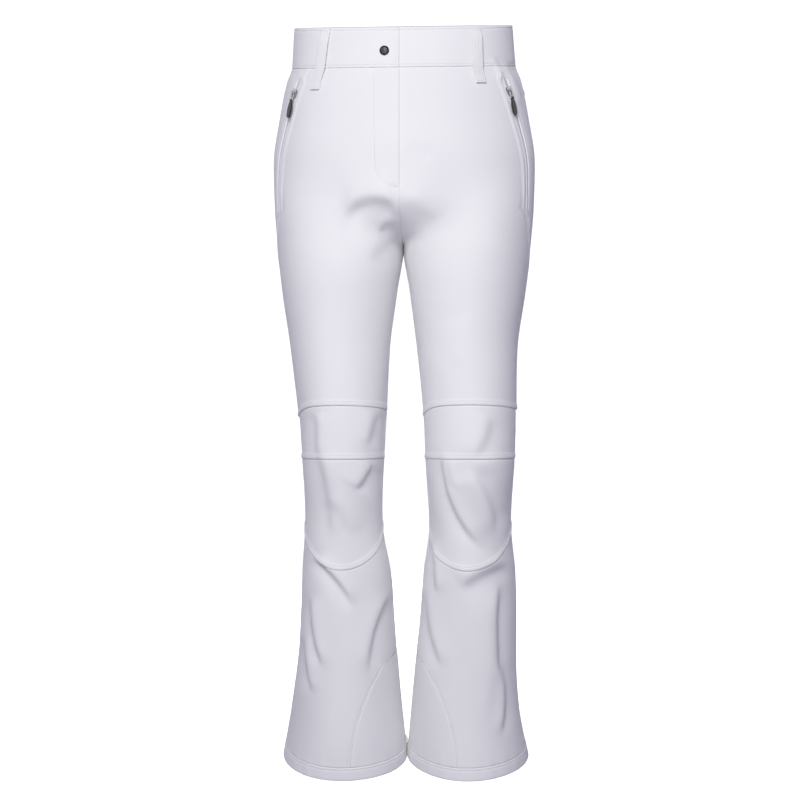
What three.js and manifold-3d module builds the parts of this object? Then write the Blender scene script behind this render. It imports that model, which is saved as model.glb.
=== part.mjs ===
// Ski pants: white softshell, bootcut leg, lapped fly with one snap, two slanted zipped pockets,
// a knee band, a shield panel below each knee and a kick patch at each inner hem.
// Millimetres, +Z up. The front faces -Y and the wearer's left is +X. The origin is the centre of the
// waist opening, level with the top of the waistband at the sides.

import * as THREE from "three";
import { mergeVertices } from "three/addons/utils/BufferGeometryUtils.js";
import Module from "manifold-3d";

const wasm = await Module();
wasm.setup();

// ---- Heights, measured down from the top of the waistband at the side ----
const bandDrop = 57;
const sideDrop = 76;
const hipDrop = 190;
const crotchDrop = 305;
const kneeBandDrop = 534;
const kneeDrop = 600;
const calfDrop = 690;
const shieldSideDrop = 694;
const shieldTipDrop = 745;
const kickDrop = 866;
const hemSeamDrop = 1004;
const hemDrop = 1021;

// ---- Half widths, half depths and where the middle of each level lies, front to back ----
const waistWidth = 152;
const waistDepth = 95;
const hipWidth = 183;
const hipDepth = 118;
const thighWidth = 176;
const thighDepth = 107;
const kneeWidth = 147;
const kneeDepth = 66;
const calfWidth = 142;
const calfDepth = 62;
const hemWidth = 172;
const hemDepth = 92;
const frontSlant = 14;
const kneeForward = 35;
const hemBack = 45;
const kneeGap = 28;
const calfGap = 32;
const hemGap = 0.8;
const centreGap = 0.4;

// ---- Cloth ----
const cloth = 1.4;
const seamGap = 0.4;
const layerGap = 0.4;
const facingCloth = 1.2;
const hemCloth = 2.6;

// ---- Fly, waistband tab and snap ----
const flyDrop = 240;
const flyTopWidth = 42;
const flyEndWidth = 4;
const placketCloth = 2.4;
const tabCloth = 2.8;
const underlapCloth = 1.6;
const underlapDepth = 7.7;
const underlapReach = 46;
const underlapPast = 14;
const flyZipInset = 11;
const snapInset = 20;
const snapDrop = 33;
const snapRadius = 6.6;
const snapDome = 2.6;

// ---- Pocket zips ----
const pocketTopDrop = 75;
const pocketEndDrop = 258;
const sidePanelDrop = 330;
const pocketTopTurn = 0.327;
const pocketEndTurn = 0.413;
const slotWidth = 11.4;
const tapeCloth = 1;
const teethWidth = 3.2;
const teethHeight = 1.2;
const sliderStartDrop = 92;

// ---- Zip hardware ----
const sliderLength = 11.5;
const sliderWidth = 9;
const sliderPlate = 1.5;
const linkWire = 0.7;
const linkLength = 12;
const linkWidth = 6.6;
const tabLength = 24;
const tabWidth = 7.5;
const tabThickness = 2.6;
const runningGap = 0.5;

// ---- Belt loops ----
const loopWidth = 14;
const loopCloth = 1.8;
const loopRise = 6.4;
const loopBelow = 30;
const frontLoopTurn = 0.238;
const backLoopTurn = 0.7;

// ---- Inner snow cuff ----
const cuffTopDrop = 880;
const cuffEndDrop = 985;
const cuffTopInset = 6.5;
const cuffInset = 14;

const white = { color: 0xe9eaee, roughness: 0.85, metalness: 0 };
const liningGrey = { color: 0xd9dae0, roughness: 0.9, metalness: 0 };
const silver = { color: 0xb9bcc2, roughness: 0.3, metalness: 1 };
const gunmetal = { color: 0x24272b, roughness: 0.35, metalness: 0.8 };
const glossBlack = { color: 0x141519, roughness: 0.25, metalness: 0 };

// ---- The body of the pants as a surface ----

const mix = (a, b, t) => a + (b - a) * t;
const clamp = (value) => Math.min(1, Math.max(0, value));
const steps = (count) => Array.from({ length: count + 1 }, (_, i) => i / count);

// How far forward the flat front of the hips lies at a drop above the crotch.
const frontLine = (drop) => -waistDepth - (drop * frontSlant) / crotchDrop;

// Each level: drop, outer half width, inner half width, half depth, middle, tilt in degrees. Above the
// crotch the middle follows from the straight front, so the seat takes up the roundness.
function level(drop, outer, inner, depth, middle, tilt) {
  return [drop, outer, inner, depth, middle ?? depth + frontLine(drop), tilt];
}
const bandShare = 0.2;
const sideShare = 0.36;
const flankShare = 0.7;
const flankDrop = mix(bandDrop, hipDrop, 0.5);
const seatDrop = mix(hipDrop, crotchDrop, 0.52);
const thighAt = (t) => mix(crotchDrop, kneeDrop, t);
const calfAt = (t) => mix(calfDrop, hemDrop, t);
const levels = [
  level(0, waistWidth, centreGap, waistDepth, 0, 10.8),
  level(bandDrop, mix(waistWidth, hipWidth, 0.14), centreGap, mix(waistDepth, hipDepth, bandShare), null, 9),
  level(sideDrop, mix(waistWidth, hipWidth, 0.37), centreGap, mix(waistDepth, hipDepth, sideShare), null, 8),
  level(flankDrop, mix(waistWidth, hipWidth, 0.7), centreGap, mix(waistDepth, hipDepth, flankShare), null, 6),
  level(hipDrop, hipWidth, centreGap, hipDepth, null, 3),
  level(seatDrop, hipWidth - 2, centreGap, hipDepth - 1, null, 0),
  level(crotchDrop, thighWidth, centreGap, thighDepth, 4, -1.5),
  level(
    thighAt(0.22),
    thighWidth - 8,
    mix(centreGap, kneeGap, 0.32),
    mix(thighDepth, kneeDepth, 0.37),
    -6,
    -3,
  ),
  level(
    thighAt(0.49),
    mix(thighWidth, kneeWidth, 0.69),
    mix(centreGap, kneeGap, 0.68),
    mix(thighDepth, kneeDepth, 0.7),
    -18,
    -4.5,
  ),
  level(kneeBandDrop, kneeWidth + 3, mix(centreGap, kneeGap, 0.9), kneeDepth + 5, 6 - kneeForward, -5.4),
  level(kneeDrop, kneeWidth, kneeGap, kneeDepth, -kneeForward, 0),
  level(calfDrop, calfWidth, calfGap, calfDepth, mix(-kneeForward, hemBack, 0.18), 3),
  ...[
    [0.22, 0.18, 0.22, 0.38, 6],
    [0.52, 0.34, 0.48, 0.62, 9],
    [0.79, 0.6, 0.74, 0.83, 11],
    [1, 1, 1, 1, 12.5],
  ].map(([t, wider, deeper, back, tilt]) =>
    level(
      calfAt(t),
      mix(calfWidth, hemWidth, wider),
      mix(calfGap, hemGap, mix(t, deeper, 0.5) + 0.12 * (1 - t)),
      mix(calfDepth, hemDepth, deeper),
      mix(-kneeForward, hemBack, back),
      tilt,
    ),
  ),
];

// Slopes that keep a smooth curve through the levels from overshooting them.
function smoothSlopes(xs, ys) {
  const secants = xs.slice(1).map((x, i) => (ys[i + 1] - ys[i]) / (x - xs[i]));
  return xs.map((_, i) => {
    if (i === 0 || i === xs.length - 1) return secants[Math.min(i, secants.length - 1)];
    const before = secants[i - 1];
    const after = secants[i];
    return before * after <= 0 ? 0 : (2 * before * after) / (before + after);
  });
}

const levelDrops = levels.map((level) => level[0]);
const levelValues = [1, 2, 3, 4, 5].map((field) => levels.map((level) => level[field]));
const levelSlopes = levelValues.map((values) => smoothSlopes(levelDrops, values));

// The five values of a level at any drop, by a cubic between the two levels next to it.
function levelAt(drop) {
  let k = 0;
  while (k < levelDrops.length - 2 && drop > levelDrops[k + 1]) k += 1;
  const span = levelDrops[k + 1] - levelDrops[k];
  const t = (drop - levelDrops[k]) / span;
  return levelValues.map((values, field) => {
    const slopes = levelSlopes[field];
    const start = values[k] * (1 + 2 * t) * (1 - t) ** 2 + slopes[k] * span * t * (1 - t) ** 2;
    const end = values[k + 1] * t * t * (3 - 2 * t) + slopes[k + 1] * span * t * t * (t - 1);
    return start + end;
  });
}

// How far a place belongs to the one loop round the hips (1) or to the loop round its leg (0). Along
// the fork seam it follows a round arch up from the crotch; away from the seam it changes gently.
const forkHeight = crotchDrop - flyDrop;
const blendAbove = 120;
const blendBelow = 70;
function hipShare(turn, drop) {
  const arch = Math.sqrt(1 - (1 - clamp((crotchDrop - drop) / forkHeight)) ** 2);
  const ramp = clamp((crotchDrop + blendBelow - drop) / (blendAbove + blendBelow));
  const gentle = ramp * ramp * (3 - 2 * ramp);
  return mix(gentle, arch, Math.cos(Math.PI * turn) ** 8);
}

// Where the loop at a drop passes a turn, seen from above and measured from the level's middle.
function loopPoint(turn, drop) {
  const [outer, inner, depth] = levelAt(drop);
  const share = hipShare(turn, drop);
  const half = Math.PI * turn;
  const reach = outer - inner;
  const x = inner + share * reach * Math.sin(half) + (1 - share) * reach * 0.5 * (1 - Math.cos(2 * half));
  const y = -depth * (share * Math.cos(half) + (1 - share) * Math.sin(2 * half));
  return [x, y];
}

// A point on the left half. turn runs from the centre front or inseam (0) round the outside to the
// side seam (0.5) and on to the centre back or inseam (1). lift stands outside the surface.
const smallTurn = 0.001;
function surface(turn, drop, lift = 0) {
  const [, , , middle, tilt] = levelAt(drop);
  const [x, y] = loopPoint(turn, drop);
  const [ahead, behind] = [loopPoint(turn + smallTurn, drop), loopPoint(turn - smallTurn, drop)];
  const dx = ahead[0] - behind[0];
  const dy = ahead[1] - behind[1];
  const length = Math.hypot(dx, dy);
  const lifted = y - (dx / length) * lift;
  const slope = Math.tan(THREE.MathUtils.degToRad(tilt));
  return new THREE.Vector3(x + (dy / length) * lift, middle + lifted, -drop + slope * lifted);
}

// How many millimetres one whole turn measures where it passes this point.
function turnLength(turn, drop) {
  const probe = 0.002;
  return surface(turn + probe, drop).distanceTo(surface(turn - probe, drop)) / (2 * probe);
}

// The turn at which the front of the hips lies this far from the centre line.
function turnAcross(x, drop) {
  const [outer, inner] = levelAt(drop);
  return Math.asin((x - inner) / (outer - inner)) / Math.PI;
}

// ---- Seams ----

// The fold on which the fly front opens: slanted from the waistband down to the end of the fly.
function flyFold(drop) {
  if (drop > flyDrop + seamGap) return 0;
  return turnAcross(mix(flyTopWidth, flyEndWidth, clamp(drop / flyDrop)), drop);
}

// The pocket zip's line, which bends back to the side seam below the zip.
function pocketLine(drop) {
  const slant = mix(pocketTopTurn, pocketEndTurn, (drop - pocketTopDrop) / (pocketEndDrop - pocketTopDrop));
  const bend = clamp((drop - pocketEndDrop) / (sidePanelDrop - pocketEndDrop));
  return mix(slant, 0.492, bend);
}

// Half the opening for the zip tape, as a share of a turn: nothing above and below the zip.
const slotRamp = 6;
function slotTurn(drop) {
  const opens = clamp((drop - pocketTopDrop + slotRamp) / slotRamp);
  const closes = clamp((pocketEndDrop + slotRamp - drop) / slotRamp);
  return (Math.min(opens, closes) * slotWidth) / 2 / turnLength(pocketLine(drop), drop);
}

const pocketFrontEdge = (drop) => (drop > sidePanelDrop ? 0.5 : pocketLine(drop) - slotTurn(drop));
const pocketBackEdge = (drop) => pocketLine(drop) + slotTurn(drop);

const yokeSeam = (turn) => mix(96, 122, (turn - 0.5) / 0.5);
const backKneeTop = (turn) => kneeBandDrop - 14 * Math.sin(2 * Math.PI * (turn - 0.5));
const backKneeEnd = (turn) => calfDrop - 18 + 12 * Math.sin(2 * Math.PI * (turn - 0.5));
const shieldSeam = (turn) => mix(shieldSideDrop, shieldTipDrop, Math.sin(2 * Math.PI * turn));

// The kick patch widens in a curve from its point on the inseam down to the hem.
const kickPoint = 0.014;
function kickEdge(drop, widest) {
  if (drop < kickDrop) return 0;
  const t = (drop - kickDrop) / (hemSeamDrop - kickDrop);
  return mix(kickPoint, widest, Math.sqrt(1 - (1 - t) ** 2));
}
const kickFront = (drop) => kickEdge(drop, 0.225);
const kickBack = (drop) => kickEdge(drop, 0.17);

// ---- Making closed pieces ----

function geometryOf(points, triangles) {
  const made = new THREE.BufferGeometry();
  made.setAttribute("position", new THREE.Float32BufferAttribute(points.flatMap((p) => [p.x, p.y, p.z]), 3));
  made.setIndex(triangles.flat());
  return made;
}

// A piece of cloth over a grid: its outside face, its inside face and the edge between them.
// place(s, t) gives the turn and the drop; each edge steps back from its seam by half the gap.
function clothPiece({ place, across, down, outside = 0, inside = -cloth, ring = false }) {
  const columns = ring ? across.slice(0, -1) : across;
  const wide = columns.length;
  const tall = down.length;
  const liftOf = (lift, s, t) => (typeof lift === "function" ? lift(s, t) : lift);
  const faces = [outside, inside].map((lift) =>
    down.map((t) => columns.map((s) => surface(...place(s, t), liftOf(lift, s, t)))),
  );
  const stepBack = (point, neighbour) => point.lerp(neighbour, seamGap / 2 / point.distanceTo(neighbour));
  for (const face of faces) {
    for (let i = 0; i < wide; i += 1) {
      stepBack(face[0][i], face[1][i]);
      stepBack(face[tall - 1][i], face[tall - 2][i]);
    }
    if (ring) continue;
    for (let j = 0; j < tall; j += 1) {
      stepBack(face[j][0], face[j][1]);
      stepBack(face[j][wide - 1], face[j][wide - 2]);
    }
  }
  const points = faces.flat(2);
  const index = (side, i, j) => side * wide * tall + j * wide + (i % wide);
  const triangles = [];
  const quad = (a, b, c, d) => triangles.push([a, b, c], [a, c, d]);
  const spans = ring ? wide : wide - 1;
  for (let i = 0; i < spans; i += 1) {
    for (let j = 0; j < tall - 1; j += 1) {
      quad(index(0, i, j), index(0, i, j + 1), index(0, i + 1, j + 1), index(0, i + 1, j));
      quad(index(1, i, j), index(1, i + 1, j), index(1, i + 1, j + 1), index(1, i, j + 1));
    }
    quad(index(0, i, 0), index(0, i + 1, 0), index(1, i + 1, 0), index(1, i, 0));
    quad(index(0, i, tall - 1), index(1, i, tall - 1), index(1, i + 1, tall - 1), index(0, i + 1, tall - 1));
  }
  for (let j = 0; j < (ring ? 0 : tall - 1); j += 1) {
    quad(index(0, 0, j), index(1, 0, j), index(1, 0, j + 1), index(0, 0, j + 1));
    quad(index(0, wide - 1, j), index(0, wide - 1, j + 1), index(1, wide - 1, j + 1), index(1, wide - 1, j));
  }
  return geometryOf(points, triangles);
}

// A panel between two seams that run down and two that run across.
function panel({ left, right, top, bottom, rows, columns = 10, ...rest }) {
  const place = (s, t) => {
    const turn = mix(left(top(0)), right(top(0)), s);
    const drop = mix(top(turn), bottom(turn), t);
    return [mix(left(drop), right(drop), s), drop];
  };
  const first = top(left(top(0)));
  const last = bottom(left(bottom(0)));
  const down = rows.map((drop) => (drop - first) / (last - first));
  return clothPiece({ place, across: steps(columns), down, ...rest });
}

const at = (value) => () => value;

function named(name, geometry, look) {
  const mesh = new THREE.Mesh(geometry, new THREE.MeshStandardMaterial(look));
  mesh.name = name;
  return mesh;
}

// ---- Joining and cutting solids ----

function solid(geometry) {
  const bare = geometry.index ? geometry.toNonIndexed() : geometry.clone();
  bare.deleteAttribute("normal");
  bare.deleteAttribute("uv");
  const merged = mergeVertices(bare, 1e-4);
  return new wasm.Manifold(
    new wasm.Mesh({
      numProp: 3,
      vertProperties: merged.attributes.position.array,
      triVerts: new Uint32Array(merged.index.array),
    }),
  );
}

function geometryFrom(made) {
  const { vertProperties, triVerts } = made.getMesh();
  const geometry = new THREE.BufferGeometry();
  geometry.setAttribute("position", new THREE.BufferAttribute(vertProperties, 3));
  geometry.setIndex(new THREE.BufferAttribute(triVerts, 1));
  return geometry;
}

// A round pin or disc standing on the local XY plane, between two heights.
function pin(radius, low, high, sides = 16) {
  return new THREE.CylinderGeometry(radius, radius, high - low, sides)
    .rotateX(Math.PI / 2)
    .translate(0, 0, (low + high) / 2);
}

function block(width, length, low, high) {
  return new THREE.BoxGeometry(width, length, high - low).translate(0, 0, (low + high) / 2);
}

// The direction straight out of the cloth where two directions along it cross.
function outwardAt(turn, drop) {
  const across = surface(turn + 0.01, drop).sub(surface(turn - 0.01, drop));
  const up = surface(turn, drop - 5).sub(surface(turn, drop + 5));
  return across.cross(up).normalize();
}

// A group whose Y runs exactly the given way and whose Z stands outward.
function seatOn(origin, outward, along) {
  const y = along.clone().normalize();
  const z = outward.clone().addScaledVector(y, -outward.dot(y)).normalize();
  const x = new THREE.Vector3().crossVectors(y, z);
  const group = new THREE.Group();
  group.matrix.makeBasis(x, y, z).setPosition(origin);
  group.matrix.decompose(group.position, group.quaternion, group.scale);
  return group;
}

// ---- Rows of the panels, as drops ----

const forkRows = [90, 75, 60, 45, 30, 15, 0].map((degrees) => {
  return crotchDrop - forkHeight * (1 - Math.cos(THREE.MathUtils.degToRad(degrees)));
});
const thighRows = [0.16, 0.36, 0.62, 1].map((t) => mix(crotchDrop, kneeBandDrop, t));
const pocketRows = [
  bandDrop,
  pocketTopDrop - slotRamp,
  pocketTopDrop,
  ...[0.22, 0.44, 0.66].map((t) => mix(pocketTopDrop, pocketEndDrop, t)),
];
const frontRows = [
  ...pocketRows,
  ...forkRows,
  pocketEndDrop,
  pocketEndDrop + slotRamp,
  sidePanelDrop,
  sidePanelDrop + seamGap,
  flyDrop,
  flyDrop + 2 * seamGap,
  ...thighRows,
]
  .sort((a, b) => a - b)
  .filter((drop, i, all) => i === 0 || drop - all[i - 1] > seamGap / 2);
const backRows = [yokeSeam(0.5), ...frontRows.filter((drop) => drop > yokeSeam(0.5) + cloth)];
const kickRows = [0, 0.06, 0.2, 0.45, 0.72, 1].map((t) => mix(kickDrop, hemSeamDrop, t));

// ---- One half of the pants; side is "left" or "right" ----

function waistPieces(side, frontTurn) {
  const layer = (top, outside, thickness) =>
    panel({
      left: frontTurn,
      right: at(1),
      top: at(top),
      bottom: at(bandDrop),
      rows: [top, mix(top, bandDrop, 0.5), bandDrop],
      columns: 18,
      outside,
      inside: outside - thickness,
    });
  return [
    named("waistband_" + side, layer(0, 0, cloth), white),
    named("waistband_facing_" + side, layer(1, -cloth - layerGap, facingCloth), liningGrey),
  ];
}

function hipPieces(side, frontTurn) {
  const front = panel({
    left: frontTurn,
    right: pocketFrontEdge,
    top: at(bandDrop),
    bottom: at(kneeBandDrop),
    rows: frontRows,
  });
  const hipSide = panel({
    left: pocketBackEdge,
    right: at(0.5),
    top: at(bandDrop),
    bottom: at(sidePanelDrop),
    rows: frontRows.filter((drop) => drop <= sidePanelDrop),
    columns: 4,
  });
  const yoke = panel({
    left: at(0.5),
    right: at(1),
    top: at(bandDrop),
    bottom: yokeSeam,
    rows: [bandDrop, 75, yokeSeam(0.5)],
  });
  const back = panel({
    left: at(0.5),
    right: at(1),
    top: yokeSeam,
    bottom: backKneeTop,
    rows: backRows,
  });
  const bagDepth = cloth + 2.6;
  const bag = panel({
    left: at(0.17),
    right: (drop) => pocketLine(Math.min(drop, pocketEndDrop)),
    top: at(pocketTopDrop),
    bottom: at(pocketEndDrop + 32),
    rows: [pocketTopDrop, 130, 185, 240, pocketEndDrop + 32],
    columns: 5,
    outside: -bagDepth,
    inside: -bagDepth - 2.2,
  });
  return [
    named("front_panel_" + side, front, white),
    named("hip_side_panel_" + side, hipSide, white),
    named("back_yoke_" + side, yoke, white),
    named("back_panel_" + side, back, white),
    named("pocket_bag_" + side, bag, liningGrey),
  ];
}

function kneePieces(side) {
  const band = panel({
    left: at(0),
    right: at(0.5),
    top: at(kneeBandDrop),
    bottom: at(kneeDrop),
    rows: [kneeBandDrop, mix(kneeBandDrop, kneeDrop, 0.5), kneeDrop],
  });
  const back = panel({
    left: at(0.5),
    right: at(1),
    top: backKneeTop,
    bottom: backKneeEnd,
    rows: [0, 0.25, 0.5, 0.75, 1].map((t) => mix(backKneeTop(0.5), backKneeEnd(0.5), t)),
  });
  return [
    named("knee_band_" + side, band, white),
    named("back_knee_panel_" + side, back, white),
  ];
}

function shinPieces(side) {
  const shield = panel({
    left: at(0),
    right: at(0.5),
    top: at(kneeDrop),
    bottom: shieldSeam,
    rows: [0, 0.25, 0.5, 0.75, 1].map((t) => mix(kneeDrop, shieldSideDrop, t)),
  });
  const front = panel({
    left: kickFront,
    right: at(0.5),
    top: shieldSeam,
    bottom: at(hemSeamDrop),
    rows: [shieldSideDrop, 760, 806, 852, kickDrop - 3, ...kickRows],
  });
  const back = panel({
    left: at(0.5),
    right: (drop) => 1 - kickBack(drop),
    top: backKneeEnd,
    bottom: at(hemSeamDrop),
    rows: [backKneeEnd(1), 720, 765, 810, 852, kickDrop - 3, ...kickRows],
  });
  const kick = panel({
    left: (drop) => -kickBack(Math.max(drop, kickDrop)),
    right: (drop) => kickFront(Math.max(drop, kickDrop)),
    top: at(kickDrop),
    bottom: at(hemSeamDrop),
    rows: kickRows,
    columns: 6,
  });
  return [
    named("knee_shield_" + side, shield, white),
    named("lower_front_panel_" + side, front, white),
    named("lower_back_panel_" + side, back, white),
    named("kick_patch_" + side, kick, white),
  ];
}

function ankleRings(side) {
  const ringed = (top, bottom, rows, outside, inside) =>
    clothPiece({
      place: (s, t) => [s, mix(top, bottom, t)],
      across: steps(20),
      down: steps(rows),
      outside,
      inside,
      ring: true,
    });
  const hem = ringed(hemSeamDrop, hemDrop, 1, 0.3, 0.3 - hemCloth);
  const slackAt = (t) => -mix(cuffTopInset, cuffInset, Math.sqrt(t));
  const cuff = ringed(cuffTopDrop, cuffEndDrop, 4, (s, t) => slackAt(t), (s, t) => slackAt(t) - facingCloth);
  return [named("hem_band_" + side, hem, white), named("snow_cuff_" + side, cuff, liningGrey)];
}

// ---- Belt loops: a strip sewn down at its two ends, standing off the waistband between them ----

function beltLoop(name, turn) {
  const halfTurn = loopWidth / 2 / turnLength(turn, bandDrop / 2);
  const path = [
    [1, layerGap],
    [7, layerGap],
    [13, loopRise],
    [bandDrop / 2, loopRise + 0.6],
    [bandDrop + loopBelow - 16, loopRise],
    [bandDrop + loopBelow - 8, layerGap + 0.4],
    [bandDrop + loopBelow, layerGap + 0.4],
  ];
  const liftAt = (t) => path[Math.round(t * (path.length - 1))][1];
  const strip = clothPiece({
    place: (s, t) => [turn + mix(-halfTurn, halfTurn, s), path[Math.round(t * (path.length - 1))][0]],
    across: steps(2),
    down: steps(path.length - 1),
    outside: (s, t) => liftAt(t) + loopCloth,
    inside: (s, t) => liftAt(t),
  });
  return named(name, strip, white);
}

// ---- Zip hardware, made in its own frame: X across the zip, Y up along it, Z out of the cloth ----

// A slider: a plate with two flanges down beside the teeth, and a bridge on top that holds the link.
const sliderBase = 1.6;
const plateLow = sliderBase + 1.2;
const plateHigh = plateLow + sliderPlate;
const linkHeight = plateHigh + linkWire + runningGap;
const bridgeWidth = linkWidth - 4 * linkWire - 2 * runningGap;
const linkReach = linkLength - 2 * linkWire;

function sliderBody() {
  const flange = (sliderWidth - teethWidth) / 2 - 1;
  const nose = new THREE.Shape();
  const w = sliderWidth / 2;
  const l = sliderLength / 2;
  nose.moveTo(-w, l - 2.5);
  nose.lineTo(-w * 0.72, -l);
  nose.lineTo(w * 0.72, -l);
  nose.lineTo(w, l - 2.5);
  nose.quadraticCurveTo(w, l, w * 0.5, l);
  nose.lineTo(-w * 0.5, l);
  nose.quadraticCurveTo(-w, l, -w, l - 2.5);
  const whole = new THREE.ExtrudeGeometry(nose, {
    depth: plateHigh - sliderBase,
    bevelEnabled: false,
    curveSegments: 4,
  }).translate(0, 0, sliderBase);
  const channel = block(sliderWidth - 2 * flange, sliderLength + 2, sliderBase - 1, plateLow);
  const clear = linkWire + runningGap;
  const arch = solid(block(bridgeWidth, 2 * clear + 3, plateHigh - 0.4, linkHeight + clear + 1));
  const eye = block(bridgeWidth + 2, 2 * clear, plateHigh, linkHeight + clear);
  return geometryFrom(solid(whole).subtract(solid(channel)).add(arch.subtract(solid(eye))));
}

// A closed ring of round wire with rounded corners, in the XY plane; its upper bar lies on the X axis.
const linkCorner = 1.5;
function linkRing() {
  const sides = 8;
  const perCorner = 5;
  const halfBar = linkWidth / 2 - linkWire - linkCorner;
  const cornerLow = linkCorner - linkReach;
  const corners = [[1, -linkCorner], [-1, -linkCorner], [-1, cornerLow], [1, cornerLow]];
  const points = [];
  const triangles = [];
  const around = corners.length * perCorner;
  for (let i = 0; i < around; i += 1) {
    const corner = Math.floor(i / perCorner);
    const angle = (Math.PI / 2) * (corner + (i % perCorner) / (perCorner - 1));
    const [sideways, centreY] = corners[corner];
    for (let k = 0; k < sides; k += 1) {
      const round = (2 * Math.PI * k) / sides;
      const out = linkCorner + linkWire * Math.cos(round);
      const x = sideways * halfBar + out * Math.cos(angle);
      points.push(new THREE.Vector3(x, centreY + out * Math.sin(angle), linkWire * Math.sin(round)));
      const next = ((i + 1) % around) * sides;
      const up = (k + 1) % sides;
      triangles.push([i * sides + k, next + k, next + up], [i * sides + k, next + up, i * sides + up]);
    }
  }
  return geometryOf(points, triangles);
}

// A moulded tab: an eye round the link's lower end, and a pointed oval blade below it.
function pullTab() {
  const eyeRadius = linkWire + runningGap;
  const barrelWidth = bridgeWidth;
  const blade = new THREE.Shape();
  const w = tabWidth / 2;
  const neck = barrelWidth / 2;
  blade.moveTo(-neck, 0);
  blade.bezierCurveTo(-neck, -3, -w, -4, -w, -tabLength * 0.55);
  blade.bezierCurveTo(-w, -tabLength * 0.9, -w * 0.55, -tabLength, 0, -tabLength);
  blade.bezierCurveTo(w * 0.55, -tabLength, w, -tabLength * 0.9, w, -tabLength * 0.55);
  blade.bezierCurveTo(w, -4, neck, -3, neck, 0);
  const body = new THREE.ExtrudeGeometry(blade, {
    depth: tabThickness,
    bevelEnabled: false,
    curveSegments: 6,
  }).translate(0, 0, -tabThickness / 2);
  const across = (radius, length) => pin(radius, -length / 2, length / 2, 14).rotateY(Math.PI / 2);
  const barrel = solid(across(eyeRadius + 0.9, barrelWidth));
  const roomHigh = tabThickness / 2 + 1;
  const sideRoom = solid(block(tabWidth + 4, linkWidth, -roomHigh, roomHigh).translate(0, 0.4, 0));
  const neckSide = solid(block(barrelWidth, linkWidth, -roomHigh, roomHigh).translate(0, 0.4, 0));
  const shoulders = solid(body).subtract(sideRoom.subtract(neckSide));
  const made = shoulders.add(barrel).subtract(solid(across(eyeRadius, tabWidth + 2)));
  return geometryFrom(made);
}

// ---- Pocket zip: tape with teeth in its slot, and the slider, link and tab near the top ----

function pocketZip(side) {
  const half = slotWidth / 2 - layerGap;
  const tooth = teethWidth / 2;
  const across = [-half, -tooth - 0.1, -tooth, tooth, tooth + 0.1, half];
  const between = frontRows.filter((drop) => drop > pocketTopDrop + 2 && drop < pocketEndDrop - 2);
  const drops = [pocketTopDrop + 1, ...between, pocketEndDrop - 1];
  const tape = clothPiece({
    place: (s, t) => {
      const drop = drops[Math.round(t * (drops.length - 1))];
      const turn = pocketLine(drop);
      return [turn + across[Math.round(s * 5)] / turnLength(turn, drop), drop];
    },
    across: steps(5),
    down: steps(drops.length - 1),
    outside: (s) => (Math.round(s * 5) === 2 || Math.round(s * 5) === 3 ? teethHeight - 0.3 : -0.3),
    inside: -0.3 - tapeCloth,
  });
  const group = new THREE.Group();
  group.add(named("pocket_zip_tape_" + side, tape, liningGrey));

  const onLine = (drop) => surface(pocketLine(drop), drop);
  const seat = onLine(sliderStartDrop);
  const outward = outwardAt(pocketLine(sliderStartDrop), sliderStartDrop);
  const upZip = onLine(sliderStartDrop - 5).sub(onLine(sliderStartDrop + 5));
  const slider = seatOn(seat, outward, upZip);
  slider.add(named("pocket_slider_" + side, sliderBody(), silver));
  group.add(slider);

  const hangTurn = pocketLine(sliderStartDrop) + 0.002;
  const hangDrop = sliderStartDrop + linkReach + tabLength;
  const below = surface(hangTurn, hangDrop).addScaledVector(outward, linkHeight);
  const linkTop = seat.clone().addScaledVector(outward, linkHeight);
  const hang = linkTop.clone().sub(below);
  const link = seatOn(linkTop, outward, hang);
  link.add(named("pocket_pull_link_" + side, linkRing(), silver));
  group.add(link);

  const tabTop = linkTop.clone().addScaledVector(hang.clone().normalize(), -linkReach);
  const tab = seatOn(tabTop, outward, hang);
  tab.add(named("pocket_pull_tab_" + side, pullTab(), glossBlack));
  group.add(tab);
  return group;
}

// ---- The fly and the snap: built for the right half, which laps over the left ----

function flyCloth() {
  const placket = panel({
    left: at(0),
    right: flyFold,
    top: at(bandDrop),
    bottom: at(flyDrop),
    rows: frontRows.filter((drop) => drop <= flyDrop),
    columns: 2,
    inside: (s, t) => -mix(placketCloth, cloth, t),
  });
  return named("fly_placket", placket, white);
}

// The zip and the shield behind it lie in one flat plane under the placket.
function flyZip() {
  const topDrop = bandDrop + 4;
  const seatAt = (drop) => surface(turnAcross(flyZipInset, drop), drop);
  const top = seatAt(topDrop);
  const up = top.clone().sub(seatAt(flyDrop - 4));
  const length = up.length();
  const group = seatOn(top, new THREE.Vector3(0, -1, 0), up);
  const tapeTop = -underlapDepth + layerGap + tapeCloth;
  const tape = solid(block(22, length, -underlapDepth + layerGap, tapeTop).translate(0, -length / 2, 0));
  const teeth = block(teethWidth, length - 4, tapeTop - 0.2, tapeTop + teethHeight);
  teeth.translate(0, -length / 2, 0);
  const shieldWidth = underlapReach + underlapPast;
  const shieldMiddle = -flyZipInset + (underlapReach - underlapPast) / 2;
  const shield = block(shieldWidth, length + 4, -underlapDepth - underlapCloth, -underlapDepth);
  shield.translate(-shieldMiddle, -length / 2, 0);
  group.add(named("fly_zip_tape", geometryFrom(tape.add(solid(teeth))), liningGrey));
  group.add(named("fly_underlap", shield, white));

  const slider = new THREE.Group();
  slider.position.set(0, -sliderLength, tapeTop + 0.3);
  slider.add(named("fly_zip_slider", sliderFlat(), silver));
  group.add(slider);
  return group;
}

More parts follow.
